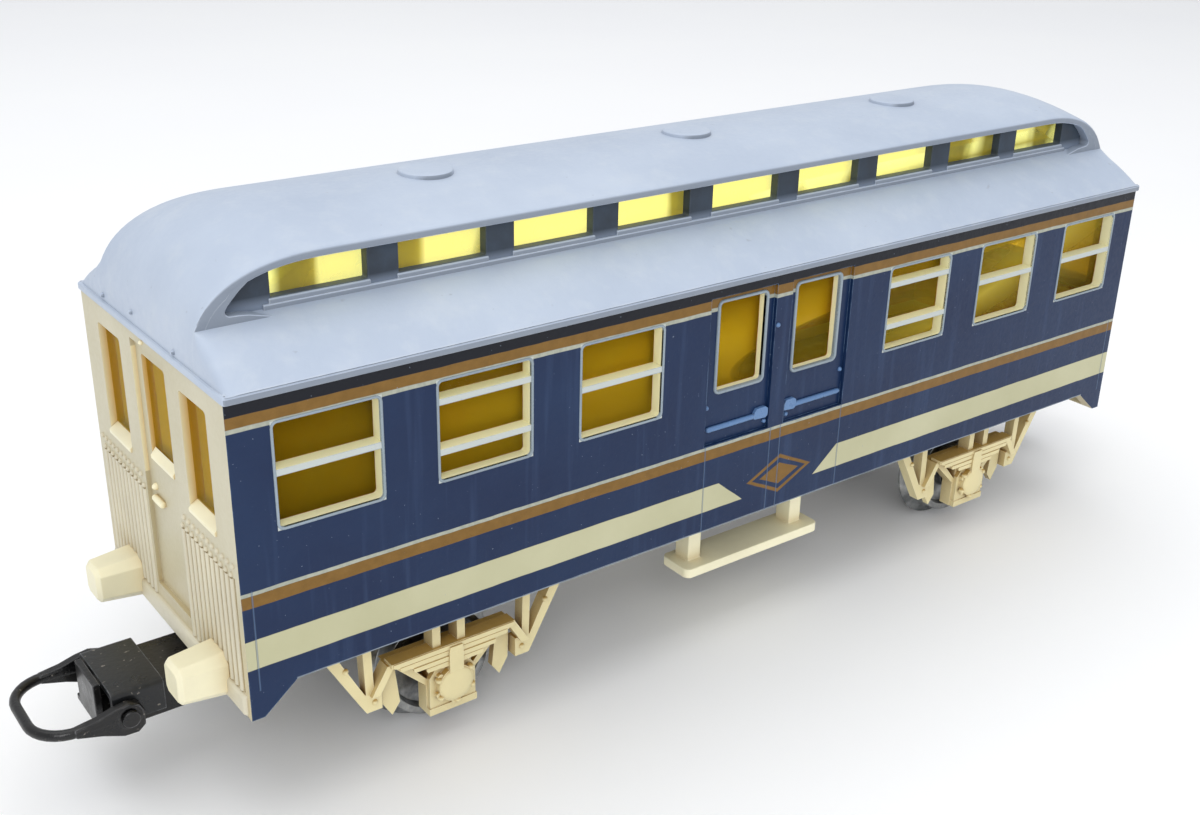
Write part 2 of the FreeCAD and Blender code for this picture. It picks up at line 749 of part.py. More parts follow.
def turned(name, profile, x, side=1):
    """A piece turned about the axle: the profile gives (radius, distance along the axle)."""
    body = new_body(name)
    sketch = sketch_on(body, "XY_Plane", name + "_profile")
    outline(sketch, [(radius, "%d * (%s)" % (side, along)) for radius, along in profile])
    feature = body.newObject("PartDesign::Revolution", name + "_turned")
    feature.Profile = sketch
    feature.ReferenceAxis = (sketch, ["V_Axis"])
    feature.Angle = 360
    place(body, (x, "0", "axleLevel"))
    return subpart(name, body)


def wheel_profile(bore):
    """From the hub's back round the web, flange and tread to the hub's face."""
    back, face = "wheelBack", "wheelBack + wheelWidth"
    return [
        (bore, back + " - hubProud"), ("hubRadius", back + " - hubProud"),
        ("webInner", back + " + webDepth"), ("webOuter", back + " + webDepth"),
        ("webOuter + hubProud", back), ("flangeRadius - flangeEdge", back),
        ("flangeRadius", back + " + flangeEdge"), ("flangeRadius", back + " + flangeEdge + hubProud"),
        ("treadRadius + flangeEdge", back + " + webDepth"),
        ("treadRadius", back + " + webDepth + hubProud"), ("treadRadius - hubProud / 2", face),
        ("webOuter + hubProud", face), ("webOuter", face + " - webDepth"),
        ("webInner", face + " - webDepth"), ("hubRadius", face + " + hubProud"),
        (bore, face + " + hubProud"),
    ]


def make_wheelsets():
    shoulder, end = "guardPlane - axleShoulder", "guardPlane + axleShoulder"
    axle = [("0", "-(%s)" % end), ("journalRadius * 0.7", "-(%s)" % end),
            ("journalRadius", "-(%s) + axleTip" % end), ("journalRadius", "-(%s)" % shoulder),
            ("axleRadius", "-(%s)" % shoulder), ("axleRadius", shoulder),
            ("journalRadius", shoulder), ("journalRadius", end + " - axleTip"),
            ("journalRadius * 0.7", end), ("0", end)]
    inner, outer = "wheelBack - hubProud", "wheelBack + wheelWidth + hubProud"
    bush = [("axleRadius", inner), ("bushRadius", inner), ("bushRadius", outer), ("axleRadius", outer)]
    for place_name, sign in ENDS.items():
        x = "%d * axleSpread" % sign
        turned("axle_" + place_name, axle, x)
        turned("wheel_%s_left" % place_name, wheel_profile("axleRadius"), x, -1)
        turned("wheel_%s_right" % place_name, wheel_profile("bushRadius"), x, 1)
        turned("insulating_bush_" + place_name, bush, x, 1)


# ---------------------------------------------------------------- axle guards


def both_sides(corners):
    """An outline and its mirror image across the axle."""
    return [corners, tuple((-x, z) for x, z in corners)]


def guard_slab(body, name, outlines, start, thick):
    texts = [[(str(x), str(z)) for x, z in corners] for corners in outlines]
    return slab(body, name, texts, start, thick)


def make_wheel_frames():
    """One moulded axle guard: hanging struts, leaf spring, pedestal and axle box."""
    body = new_body("wheel_frame_front_left")
    outer = "(guardPlane + guardThick)"
    sunk = outer + " - 0.2"
    face = "springPlane - %s" % outer

    guard_slab(body, "top_rail", [TOP_RAIL], "guardPlane", "guardThick + 0.8")
    struts = both_sides(OUTER_STRUT) + both_sides(INNER_STRUT)
    guard_slab(body, "struts", struts, "guardPlane + 0.3", "guardThick - 0.2")
    guard_slab(body, "pedestal", [PEDESTAL], "guardPlane", "guardThick")
    guard_slab(body, "brake_shoes", both_sides(BRAKE_SHOE), "guardPlane + 0.1", "guardThick / 2")
    guard_slab(body, "spring_links", both_sides(SPRING_LINK), "guardPlane + 0.6", "guardThick")
    guard_slab(body, "leaf_spring", [LEAF_SPRING], outer + " - 0.4", face + " + 0.4")
    guard_slab(body, "hangers", HANGERS, "guardPlane + 0.6", "guardThick + 0.1")
    guard_slab(body, "buckle", [BUCKLE], outer, face + " + 0.25")
    guard_slab(body, "axle_box", [AXLE_BOX], sunk, "guardThick / 2")
    guard_slab(body, "pedestal_foot", [PEDESTAL_FOOT], sunk, "guardThick / 2 + 0.1")

    disc = sketch_on(body, "XZ_Plane", "cover_outline", outer + " + 0.3")
    circle(disc, ("0", "axleLevel - boxDrop"), "boxRadius")
    pad(body, "cover", disc, "guardThick - 0.6")
    bolts = sketch_on(body, "XZ_Plane", "bolt_outlines", outer + " + 0.3")
    for degrees in BOLT_TURNS:
        turn = math.radians(degrees)
        x = "%.4f * (boxRadius + 0.1)" % math.cos(turn)
        z = "axleLevel - boxDrop + %.4f * (boxRadius + 0.1)" % math.sin(turn)
        circle(bolts, (x, z), "boltRadius")
    pad(body, "cover_bolts", bolts, "guardThick - 0.75")

    gaps = sketch_on(body, "XZ_Plane", "pedestal_gaps", "guardPlane")
    for corners in both_sides(PEDESTAL_HOLE):
        outline(gaps, [(str(x), str(z)) for x, z in corners])
    gap = pocket(body, "pedestal_openings", gaps, "guardThick")
    gap.Reversed = True

    bore = sketch_on(body, "XZ_Plane", "journal_outline", "guardPlane")
    circle(bore, ("0", "axleLevel"), "journalRadius + journalPlay")
    journal = pocket(body, "journal_hole", bore, "journalDepth")
    journal.Reversed = True
    place(body, ("-axleSpread", "0", "0"))
    subpart("wheel_frame_front_left", body)
    right = mirror("wheel_frame_front_right", body, "y")
    subpart("wheel_frame_front_right", right)
    subpart("wheel_frame_rear_left", mirror("wheel_frame_rear_left", body, "x"))
    subpart("wheel_frame_rear_right", mirror("wheel_frame_rear_right", right, "x"))


# ---------------------------------------------------------------- steps


def make_steps():
    board = block("step_tread", ("-stepHalf", "-stepOuter", "stepLevel - stepThick"),
                  ("2 * stepHalf", "stepDepth", "stepThick"))
    board = round_edges("step_tread_round", board, "stepThick * 0.7", lambda edge: runs_along(edge, "z"))
    sunk = "stepThick / 4"
    posts = []
    for sign in (-1, 1):
        corner = ("%d * stepPost - stepPostWide / 2" % sign, "-stepOuter + stepNosing", "stepLevel - " + sunk)
        tall = "floorLevel - stepLevel + " + sunk
        posts.append(block("step_post", corner, ("stepPostWide", "stepPostDeep", tall)))
    left = fuse("step_board_left", [board] + posts)
    subpart("step_board_left", left)
    subpart("step_board_right", mirror("step_board_right", left, "y"))


# ---------------------------------------------------------------- couplers


def make_couplers():
    plate_top = "(drawbarLevel + drawbarThick)"
    tip = "headFront - drawbarBack"
    low = "drawbarLevel - drawbarDeep"
    ahead = "-(headFront + hookAhead)"
    plate = block("drawbar_plate", ("-(%s)" % tip, "-drawbarHalf", "drawbarLevel"),
                  ("%s - pivotSpread" % tip, "2 * drawbarHalf", "drawbarThick"))
    eye = rod("drawbar_eye", ("-pivotSpread", "0", "drawbarLevel"), "z", "drawbarHalf", "drawbarThick")
    flanks = [block("drawbar_flank", ("-(%s)" % tip, y, low),
                    ("%s - pivotSpread" % tip, "flankThick", "drawbarDeep + drawbarThick / 7"))
              for y in ("-drawbarHalf", "drawbarHalf - flankThick")]
    tongue = block("hook_tongue", (ahead, "-drawbarHalf + 0.2", low),
                   ("tongueLong", "2 * drawbarHalf - 0.4", "hookThick"))
    hook = block("hook_plate", (ahead, "-drawbarHalf + 0.9", low),
                 ("hookThick", "2 * drawbarHalf - 1.8", "drawbarDeep + hookRise"))
    bar = fuse("drawbar_whole", [plate, eye, tongue, hook] + flanks)
    pivot = rod("pivot_hole", ("-pivotSpread", "0", "drawbarLevel - drawbarThick"), "z",
                "pivotRadius + pivotPlay", "4 * drawbarThick")
    front_bar = cut("drawbar_front", bar, pivot)

    under = "loopLevel - headSkirt"
    cap = block("head_cap", ("-headFront", "-headHalf", under),
                ("headFront - headBack", "2 * headHalf", "%s + headWall - (%s)" % (plate_top, under)))
    cap = round_edges("head_cap_round", cap, "headWall - 0.05", lambda edge: runs_along(edge, "x")
                      and edge.Vertexes[0].Z > value("drawbarLevel"))
    hollow = block("head_hollow", ("-headFront - 1", "-headHalf + headWall", under + " - 1"),
                   ("headFront - headBack + 2", "2 * headHalf - 2 * headWall",
                    "%s - (%s) + 1" % (plate_top, under)))
    pin_hole = rod("head_pin_hole", ("-loopPin", "-loopHalf - 1", "loopLevel"), "y", "loopPinRadius",
                   "2 * loopHalf + 2")
    front_head = cut("head_front", cap, fuse("head_cuts", [hollow, pin_hole]))

    pin = rod("loop_pin_shank", ("-loopPin", "-loopHalf - pinReach", "loopLevel"), "y", "loopPinRadius",
              "2 * loopHalf + 2 * pinReach")
    heads = [rod("loop_pin_head", ("-loopPin", y, "loopLevel"), "y", "loopPinRadius + flangeEdge", "pinHead")
             for y in ("-loopHalf - pinReach - pinHead", "loopHalf + pinReach")]
    front_pin = fuse("loop_pin_whole", [pin] + heads)

    long = "(loopFront - loopPin)"
    ring = block("loop_outside", ("-loopFront", "-loopHalf", "loopLevel - loopBar / 2"),
                 (long, "2 * loopHalf", "loopBar"))
    ring = round_edges("loop_outside_round", ring, "loopOuterRound", lambda edge: runs_along(edge, "z")
                       and edge.Vertexes[0].X < -value("loopFront") + 0.1)
    gap = block("loop_inside", ("-loopFront + loopBar", "-loopHalf + loopBar", "loopLevel - 2 * loopBar"),
                (long + " + 2", "2 * loopHalf - 2 * loopBar", "4 * loopBar"))
    gap = round_edges("loop_inside_round", gap, "loopInnerRound", lambda edge: runs_along(edge, "z")
                      and edge.Vertexes[0].X < -value("loopPin"))
    eyes = [rod("loop_eye", ("-loopPin", y, "loopLevel"), "y", "loopEye", "loopBar")
            for y in ("-loopHalf", "loopHalf - loopBar")]
    pin_path = rod("loop_pin_path", ("-loopPin", "-loopHalf - 1", "loopLevel"), "y",
                   "loopPinRadius + loopPlay", "2 * loopHalf + 2")
    arms = cut("loop_ring", ring, gap)
    front_loop = cut("loop_front", fuse("loop_whole", [arms] + eyes), pin_path)

    seat = "drawbarLevel - screwPlay"
    head_low = "%s - screwHeadTall" % seat
    shank = rod("screw_shank", ("-pivotSpread", "0", seat), "z", "pivotRadius",
                "drawbarThick + 2 * screwPlay")
    thread = rod("screw_thread", ("-pivotSpread", "0", plate_top + " + screwPlay"), "z",
                 "0.75 * pivotRadius", "screwThread")
    cheese = rod("screw_head", ("-pivotSpread", "0", head_low), "z", "2 * pivotRadius", "screwHeadTall")
    slot = block("screw_slot",
                 ("-pivotSpread - 3 * pivotRadius", "-slotWide / 2", "%s - slotDeep" % head_low),
                 ("6 * pivotRadius", "slotWide", "2 * slotDeep"))
    front_screw = cut("screw_front", fuse("screw_whole", [shank, thread, cheese]), slot)

    made = {
        "coupler_drawbar": front_bar,
        "coupler_head": front_head,
        "loop_pin": front_pin,
        "coupling_loop": front_loop,
        "coupler_screw": front_screw,
    }
    for name, front in made.items():
        subpart(name + "_front", front)
        subpart(name + "_rear", mirror(name + "_rear", front, "x"))


make_body_shell()
make_roof()
make_glazing()
make_floor()
make_buffers()
make_wheelsets()
make_wheel_frames()
make_steps()
make_couplers()
doc.recompute()

failed = [item.Name for item in doc.Objects if {"Invalid", "Error"} & set(item.State)]
if failed:
    raise RuntimeError("features failed: " + ", ".join(failed))
for item in subparts:
    if item.Shape.isNull() or not item.Shape.isValid():
        raise RuntimeError("bad shape: " + item.Label)

os.makedirs("parts", exist_ok=True)
for item in subparts:
    item.Shape.exportStep("parts/%s.step" % item.Label)
    print("%-26s %8.2f mm3  solids %d" % (item.Label, item.Shape.Volume, len(item.Shape.Solids)))
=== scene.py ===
import math

import bmesh
import bpy
from mathutils import Matrix, Vector


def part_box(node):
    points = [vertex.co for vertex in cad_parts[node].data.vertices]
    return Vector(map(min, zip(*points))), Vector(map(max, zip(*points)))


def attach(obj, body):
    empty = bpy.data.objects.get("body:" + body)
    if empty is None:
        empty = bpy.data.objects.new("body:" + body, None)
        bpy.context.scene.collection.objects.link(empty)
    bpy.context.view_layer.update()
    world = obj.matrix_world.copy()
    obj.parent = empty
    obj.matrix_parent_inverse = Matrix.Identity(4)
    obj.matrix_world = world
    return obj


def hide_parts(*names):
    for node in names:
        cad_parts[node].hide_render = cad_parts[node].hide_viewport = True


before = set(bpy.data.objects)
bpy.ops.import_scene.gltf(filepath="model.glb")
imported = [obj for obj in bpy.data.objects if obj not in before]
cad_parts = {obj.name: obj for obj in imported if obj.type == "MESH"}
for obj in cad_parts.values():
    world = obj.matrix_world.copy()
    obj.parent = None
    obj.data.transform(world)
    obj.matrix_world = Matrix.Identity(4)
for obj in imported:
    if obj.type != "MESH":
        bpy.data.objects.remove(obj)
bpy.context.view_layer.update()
scene = bpy.context.scene

# Shapes are written in millimetres in the row frame: +X along the coach, -X its shown end, +Z up.
MM = 0.001
AXIS = {"x": Vector((1, 0, 0)), "y": Vector((0, 1, 0)), "z": Vector((0, 0, 1))}


def box_mm(node):
    """Low and high corner of a CAD node at rest."""
    low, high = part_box(node)
    return low / MM, high / MM


# ---------------------------------------------------------------- mesh building


def on_axis(axis, a, b, c):
    """Two coordinates across an axis and one along it, as a point."""
    return {"x": (c, a, b), "y": (a, c, b), "z": (a, b, c)}[axis]


def both_ways(values):
    """Rising values with their mirror images before them; zero stays single."""
    return [-value for value in reversed(values) if value] + list(values)


def soften(piece, width, angle):
    """Round the edges that are sharper than an angle."""
    bevel = piece.modifiers.new("soft_edges", "BEVEL")
    bevel.width = width * MM
    bevel.segments = 2
    bevel.limit_method = "ANGLE"
    bevel.angle_limit = math.radians(angle)
    bevel.harden_normals = True


class Shape:
    """Closed shells in millimetres that become one piece."""

    def __init__(self):
        self.mesh = bmesh.new()

    def skin(self, rings, closed=False):
        """Faces between closed rings; the ends are capped unless the row of rings closes on itself."""
        rows = [[self.mesh.verts.new(point) for point in ring] for ring in rings]
        count = len(rows[0])
        following = rows[1:] + rows[:1] if closed else rows[1:]
        for lower, upper in zip(rows, following):
            for i in range(count):
                j = (i + 1) % count
                self.mesh.faces.new((lower[i], lower[j], upper[j], upper[i]))
        if not closed:
            self.mesh.faces.new(rows[0])
            self.mesh.faces.new(rows[-1])
        return self

    def prism(self, corners, axis, low, high):
        """A flat outline carried along an axis from one level to another."""
        return self.skin([[on_axis(axis, a, b, level) for a, b in corners] for level in (low, high)])

    def turned(self, start, axis, profile, sides, hollow=False):
        """Rings about a row axis from (distance along, radius); a hollow profile closes on itself."""
        turns = [math.tau * k / sides for k in range(sides)]
        rings = []
        for along, radius in profile:
            points = [on_axis(axis, radius * math.cos(t), radius * math.sin(t), along) for t in turns]
            rings.append([Vector(start) + Vector(point) for point in points])
        return self.skin(rings, hollow)

    def rivet(self, centre, axis, radius, height, sides=10):
        """A low dome that stands out of a surface."""
        share = ((-0.6, 1.0), (0.0, 1.0), (0.45, 0.9), (0.8, 0.62), (1.0, 0.2))
        return self.turned(centre, axis, [(height * a, radius * b) for a, b in share], sides)

    def sheet(self, us, vs, at, solid=lambda i, j: True):
        """A thick sheet made of grid cells; at(u, v, side) gives the points of its two faces."""
        made = {}

        def vert(i, j, side):
            if (i, j, side) not in made:
                made[i, j, side] = self.mesh.verts.new(at(us[i], vs[j], side))
            return made[i, j, side]

        cells = {(i, j) for i in range(len(us) - 1) for j in range(len(vs) - 1) if solid(i, j)}
        for i, j in sorted(cells):
            ring = [(i, j), (i + 1, j), (i + 1, j + 1), (i, j + 1)]
            for side in (0, 1):
                self.mesh.faces.new([vert(*corner, side) for corner in ring])
            for k, (di, dj) in enumerate(((0, -1), (1, 0), (0, 1), (-1, 0))):
                if (i + di, j + dj) not in cells:
                    a, b = ring[k], ring[(k + 1) % 4]
                    self.mesh.faces.new((vert(*a, 0), vert(*b, 0), vert(*b, 1), vert(*a, 1)))
        return self

    def hoop(self, centre, half, radius, section, axis="y"):
        """A section carried round a rounded rectangle; the section gives (outwards, along the axis)."""
        steps = 4
        rings = []
        for quarter, (sa, sb) in enumerate(((1, 1), (-1, 1), (-1, -1), (1, -1))):
            for k in range(steps + 1):
                turn = math.radians(90 * (quarter + k / steps))
                out_a, out_b = math.cos(turn), math.sin(turn)
                a = centre[0] + sa * (half[0] - radius) + radius * out_a
                b = centre[1] + sb * (half[1] - radius) + radius * out_b
                ring = [on_axis(axis, a + out * out_a, b + out * out_b, along) for out, along in section]
                rings.append(ring)
        return self.skin(rings, closed=True)

    def mirrored(self, *axes):
        """Everything so far again across the coach's middle, once for each axis in turn."""
        for axis in axes:
            source = self.mesh.verts[:] + self.mesh.edges[:] + self.mesh.faces[:]
            copy = bmesh.ops.duplicate(self.mesh, geom=source)["geom"]
            verts = [item for item in copy if isinstance(item, bmesh.types.BMVert)]
            bmesh.ops.transform(self.mesh, matrix=Matrix.Scale(-1, 4, AXIS[axis]), verts=verts)
        return self

    def piece(self, name, material, body, slot, bevel=0.0, replaces=(), angle=35.0):
        """Make one object of the shape; edges sharper than the angle stay sharp or are bevelled."""
        bmesh.ops.remove_doubles(self.mesh, verts=self.mesh.verts, dist=1e-5)
        bmesh.ops.dissolve_degenerate(self.mesh, edges=self.mesh.edges, dist=1e-5)
        bmesh.ops.recalc_face_normals(self.mesh, faces=self.mesh.faces)
        bmesh.ops.scale(self.mesh, vec=(MM, MM, MM), verts=self.mesh.verts)
        data = bpy.data.meshes.new(name)
        self.mesh.to_mesh(data)
        self.mesh.free()
        data.shade_smooth()
        data.set_sharp_from_angle(angle=math.radians(angle))
        data.materials.append(material)
        made = bpy.data.objects.new(name, data)
        scene.collection.objects.link(made)
        if bevel:
            soften(made, bevel, angle)
        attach(made, body)
        if replaces:
            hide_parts(*replaces)
        return made


# ---------------------------------------------------------------- materials


def linear(colour):
    """An sRGB colour from 0 to 255 as linear light."""
    shares = [channel / 255 for channel in colour]
    return tuple(s / 12.92 if s <= 0.04045 else ((s + 0.055) / 1.055) ** 2.4 for s in shares) + (1.0,)


class Paint:
    """One node material, whose patterns are laid out in millimetres in the row frame."""

    def __init__(self, name, roughness, metallic=0.0):
        self.material = bpy.data.materials.new(name)
        self.material.use_nodes = True
        self.tree = self.material.node_tree
        self.shader = self.tree.nodes["Principled BSDF"]
        self.shader.inputs["Roughness"].default_value = roughness
        self.shader.inputs["Metallic"].default_value = metallic
        coordinates = self.tree.nodes.new("ShaderNodeTexCoord")
        self.place = self.vector("SCALE", coordinates.outputs["Object"], scale=1 / MM)
        self.normal = coordinates.outputs["Normal"]
        self.x, self.y, self.z = self.split(self.place)

    def feed(self, socket, source):
        """Link an output to a socket, or set the socket to a value."""
        if isinstance(source, bpy.types.NodeSocket):
            self.tree.links.new(source, socket)
        else:
            socket.default_value = source

    def split(self, source):
        node = self.tree.nodes.new("ShaderNodeSeparateXYZ")
        self.feed(node.inputs[0], source)
        return node.outputs

    def vector(self, operation, a, b=None, scale=None):
        node = self.tree.nodes.new("ShaderNodeVectorMath")
        node.operation = operation
        self.feed(node.inputs[0], a)
        if b is not None:
            self.feed(node.inputs[1], b)
        if scale is not None:
            node.inputs["Scale"].default_value = scale
        return node.outputs["Value" if operation == "DOT_PRODUCT" else "Vector"]

    def math(self, operation, a, b=0.0, c=0.0, clamp=False):
        node = self.tree.nodes.new("ShaderNodeMath")
        node.operation = operation
        node.use_clamp = clamp
        for socket, source in zip(node.inputs, (a, b, c)):
            self.feed(socket, source)
        return node.outputs[0]

    def product(self, *sources):
        """All the sources multiplied together."""
        result = sources[0]
        for source in sources[1:]:
            result = self.math("MULTIPLY", result, source)
        return result

    def ramp(self, source, low, high, to_low=0.0, to_high=1.0):
        """Clamped straight line from one pair of values to another."""
        node = self.tree.nodes.new("ShaderNodeMapRange")
        values = (source, low, high, to_low, to_high)
        for name, value in zip(("Value", "From Min", "From Max", "To Min", "To Max"), values):
            self.feed(node.inputs[name], value)
        return node.outputs["Result"]

    def band(self, source, low, high, soft=0.05):
        """1 where a value lies between two limits, with a slightly soft edge."""
        away = self.math("ABSOLUTE", self.math("SUBTRACT", source, (low + high) / 2))
        half = (high - low) / 2
        return self.ramp(away, half + soft / 2, half - soft / 2)

    def noise(self, scale, detail, rough=0.55, stretch=None):
        """Noise whose scale counts features for each millimetre."""
        node = self.tree.nodes.new("ShaderNodeTexNoise")
        where = self.place if stretch is None else self.vector("MULTIPLY", self.place, stretch)
        self.feed(node.inputs["Vector"], where)
        node.inputs["Scale"].default_value = scale
        node.inputs["Detail"].default_value = detail
        node.inputs["Roughness"].default_value = rough
        return node.outputs["Fac"]

    def mix(self, share, under, over):
        """One colour laid over another as far as a share says."""
        node = self.tree.nodes.new("ShaderNodeMix")
        node.data_type = "RGBA"
        self.feed(node.inputs["Factor"], share)
        for name, colour in (("A", under), ("B", over)):
            socket = next(s for s in node.inputs if s.name == name and s.type == "RGBA")
            self.feed(socket, linear(colour) if isinstance(colour, tuple) else colour)
        return next(s for s in node.outputs if s.type == "RGBA")

    def edges(self, radius):
        """1 along edges, where wear lightens a surface and where a highlight is painted."""
        bevel = self.tree.nodes.new("ShaderNodeBevel")
        bevel.samples = 4
        bevel.inputs["Radius"].default_value = radius * MM
        geometry = self.tree.nodes.new("ShaderNodeNewGeometry")
        along = self.vector("DOT_PRODUCT", bevel.outputs[0], geometry.outputs["Normal"])
        return self.ramp(along, 0.98, 0.75)

    def recess(self, distance):
        """1 deep in corners, 0 in the open: the mask for painted shade in corners."""
        node = self.tree.nodes.new("ShaderNodeAmbientOcclusion")
        node.samples = 6
        node.inputs["Distance"].default_value = distance * MM
        return self.math("POWER", self.math("SUBTRACT", 1.0, node.outputs["AO"], clamp=True), 1.5)

    def finish(self, colour, bump, height, roughness=None):
        """Set colour, a bump pattern with its height in millimetres, and roughness where it varies."""
        self.feed(self.shader.inputs["Base Color"], linear(colour) if isinstance(colour, tuple) else colour)
        node = self.tree.nodes.new("ShaderNodeBump")
        node.inputs["Distance"].default_value = height * MM
        node.inputs["Strength"].default_value = 1.0
        self.feed(node.inputs["Height"], bump)
        self.feed(self.shader.inputs["Normal"], node.outputs[0])
        if roughness is not None:
            self.feed(self.shader.inputs["Roughness"], roughness)
        return self.material


def plastic(name, body, shade, edge, roughness=0.42, depth=2.5, strength=0.9, upward_shade=None):
    """Moulded plastic: mottled, darker and warmer in corners as painted shade, paler at edges from wear and
    a painted highlight.

    A colour given for what faces up is painted shade on those faces.
    """
    paint = Paint(name, roughness)
    cloud = paint.noise(0.09, 4)
    fine = paint.noise(2.2, 3)
    dark = tuple(int(c * 0.93) for c in body)
    colour = paint.mix(paint.ramp(cloud, 0.35, 0.65), dark, body)
    # painted shade: darker and warmer in corners
    colour = paint.mix(paint.product(paint.recess(depth), strength), colour, shade)
    if upward_shade:
        # painted shade on the faces that look up
        upward = paint.ramp(paint.split(paint.normal)[2], 0.3, 0.8, 0.0, 0.75)
        colour = paint.mix(upward, colour, upward_shade)
    # edges paler from wear and a painted highlight
    wear_and_highlight = paint.product(paint.edges(0.12), paint.ramp(paint.noise(0.6, 4), 0.35, 0.6), 0.7)
    colour = paint.mix(wear_and_highlight, colour, edge)
    rough = paint.ramp(fine, 0.3, 0.7, roughness - 0.07, roughness + 0.1)
    bump = paint.math("ADD", fine, paint.product(cloud, 2.0))
    return paint.finish(colour, bump, 0.02, rough)


# Millimetres from the coach's middle: inner faces of the body's sides and ends, the sunk doors' face
# and the far edge of a pair, and the middle of the first side window; then the windows' spacing.
SIDE_INNER, END_INNER = 13.95, 53.75
DOOR_FACE, DOOR_EDGE = 14.8, 9.4
FIRST_WINDOW, WINDOW_PITCH = 19.0, 14.0


def coach_print():
    """The cream body with its printed blue sides."""
    paint = Paint("coach_print", 0.38)
    cloud = paint.noise(0.08, 4)
    fine = paint.noise(2.4, 3)
    # the edges of the print waver slightly
    wobble = paint.ramp(paint.noise(0.35, 2), 0.3, 0.7, -0.025, 0.025)
    z = paint.math("ADD", paint.z, wobble)
    away = paint.math("ABSOLUTE", paint.math("SUBTRACT", paint.math("ADD", paint.x, wobble), 1.0))
    normal = paint.split(paint.normal)
    sideways = paint.math("ABSOLUTE", normal[1])
    endways = paint.math("ABSOLUTE", normal[0])
    depth = paint.math("ABSOLUTE", paint.y)
    abs_x = paint.math("ABSOLUTE", paint.x)

    # what is printed: the outer faces of the sides, and all there is of the doors
    facing = paint.product(
        paint.math("GREATER_THAN", sideways, 0.8), paint.math("GREATER_THAN", depth, 14.6),
    )
    door = paint.product(
        paint.math("LESS_THAN", abs_x, DOOR_EDGE), paint.math("GREATER_THAN", depth, DOOR_FACE - 0.04),
    )
    side = paint.math("MAXIMUM", facing, door)

    # what is not: the edges of the window openings and the lining of the cabin
    reveal = paint.product(
        paint.math("GREATER_THAN", depth, SIDE_INNER), paint.math("LESS_THAN", abs_x, 52.5),
        paint.math("LESS_THAN", sideways, 0.8), paint.band(paint.z, 27.0, 37.2),
    )
    end_reveal = paint.product(
        paint.math("GREATER_THAN", abs_x, END_INNER), paint.math("LESS_THAN", abs_x, 55.25),
        paint.math("LESS_THAN", depth, 11.9), paint.band(paint.z, 25.6, 36.9),
        paint.math("LESS_THAN", endways, 0.5),
    )
    inside = paint.product(
        paint.math("LESS_THAN", depth, SIDE_INNER), paint.math("LESS_THAN", abs_x, END_INNER),
        paint.math("GREATER_THAN", paint.z, 17.0),
    )

    streak = paint.noise(0.9, 3, stretch=(1.0, 1.0, 0.06))
    print_colour = paint.mix(paint.ramp(cloud, 0.35, 0.65), (14, 36, 72), (20, 44, 80))
    print_colour = paint.mix(paint.ramp(streak, 0.55, 0.8, 0.0, 0.25), print_colour, (70, 92, 130))

    # lines above and below the windows, a dark band under the eaves that is painted shadow, and a pale line
    # along the foot of the sides
    stripe = paint.mix(paint.ramp(paint.noise(1.2, 4), 0.3, 0.7), (120, 87, 31), (132, 97, 40))
    pale = paint.mix(paint.ramp(fine, 0.35, 0.65), (160, 164, 150), (178, 180, 164))
    cream = paint.mix(paint.ramp(cloud, 0.35, 0.65), (190, 187, 150), (201, 198, 163))
    for low, high, colour in (
        (37.35, 38.6, (8, 12, 24)), (36.45, 37.35, stripe), (36.1, 36.45, pale),
        (22.5, 22.82, pale), (21.45, 22.5, stripe),
    ):
        print_colour = paint.mix(paint.band(z, low, high), print_colour, colour)
    sill = paint.product(paint.band(z, 13.7, 14.0), paint.math("LESS_THAN", abs_x, 51.0))
    print_colour = paint.mix(sill, print_colour, (140, 150, 160))

    # cream lower panels, whose ends slant away from the doors
    foot, head = 16.0, 18.6
    slant = paint.math("MULTIPLY_ADD", paint.math("SUBTRACT", z, foot), 3.15 / (head - foot), 4.8)
    lower = paint.product(
        paint.band(z, foot, head),
        paint.ramp(paint.math("SUBTRACT", away, slant), -0.03, 0.03),
    )
    print_colour = paint.mix(lower, print_colour, cream)

    # a plain lozenge inside a lozenge ring stands on the doors
    rise = paint.math("ABSOLUTE", paint.math("SUBTRACT", z, 17.5))

    def lozenge(half_x, half_z):
        reach = paint.math("ADD", paint.math("DIVIDE", away, half_x), paint.math("DIVIDE", rise, half_z))
        return paint.ramp(reach, 1.03, 0.97)

    ring = paint.math("SUBTRACT", lozenge(4.3, 2.1), lozenge(3.6, 1.7), clamp=True)
    emblem = paint.math("MAXIMUM", ring, lozenge(2.6, 1.15))
    print_colour = paint.mix(emblem, print_colour, stripe)

    # door seams and the narrow corner lines, pressed in and painted lighter as a painted highlight along
    # their edges
    seams = None
    for place in (-8.9, -0.6, 0.75, 9.1, -54.1, 54.1):
        line = paint.band(paint.x, place - 0.07, place + 0.07, 0.06)
        seams = line if seams is None else paint.math("MAXIMUM", seams, line)
    seams = paint.product(seams, paint.band(z, 13.9, 22.9))
    print_colour = paint.mix(paint.product(seams, 0.5), print_colour, (96, 122, 156))

    # the bars and frames in the window openings are silvered
    along = paint.math("SUBTRACT", abs_x, FIRST_WINDOW)
    cell = paint.math("PINGPONG", along, WINDOW_PITCH / 2)
    bars = paint.product(
        paint.math("LESS_THAN", cell, 4.6), paint.band(paint.z, 27.3, 36.3),
        paint.math("GREATER_THAN", along, -5.0),
    )
    print_colour = paint.mix(bars, print_colour, (196, 202, 198))

    specks = paint.ramp(paint.noise(4.2, 2, 0.4), 0.75, 0.78, 0.0, 0.6)
    print_colour = paint.mix(specks, print_colour, (150, 164, 184))
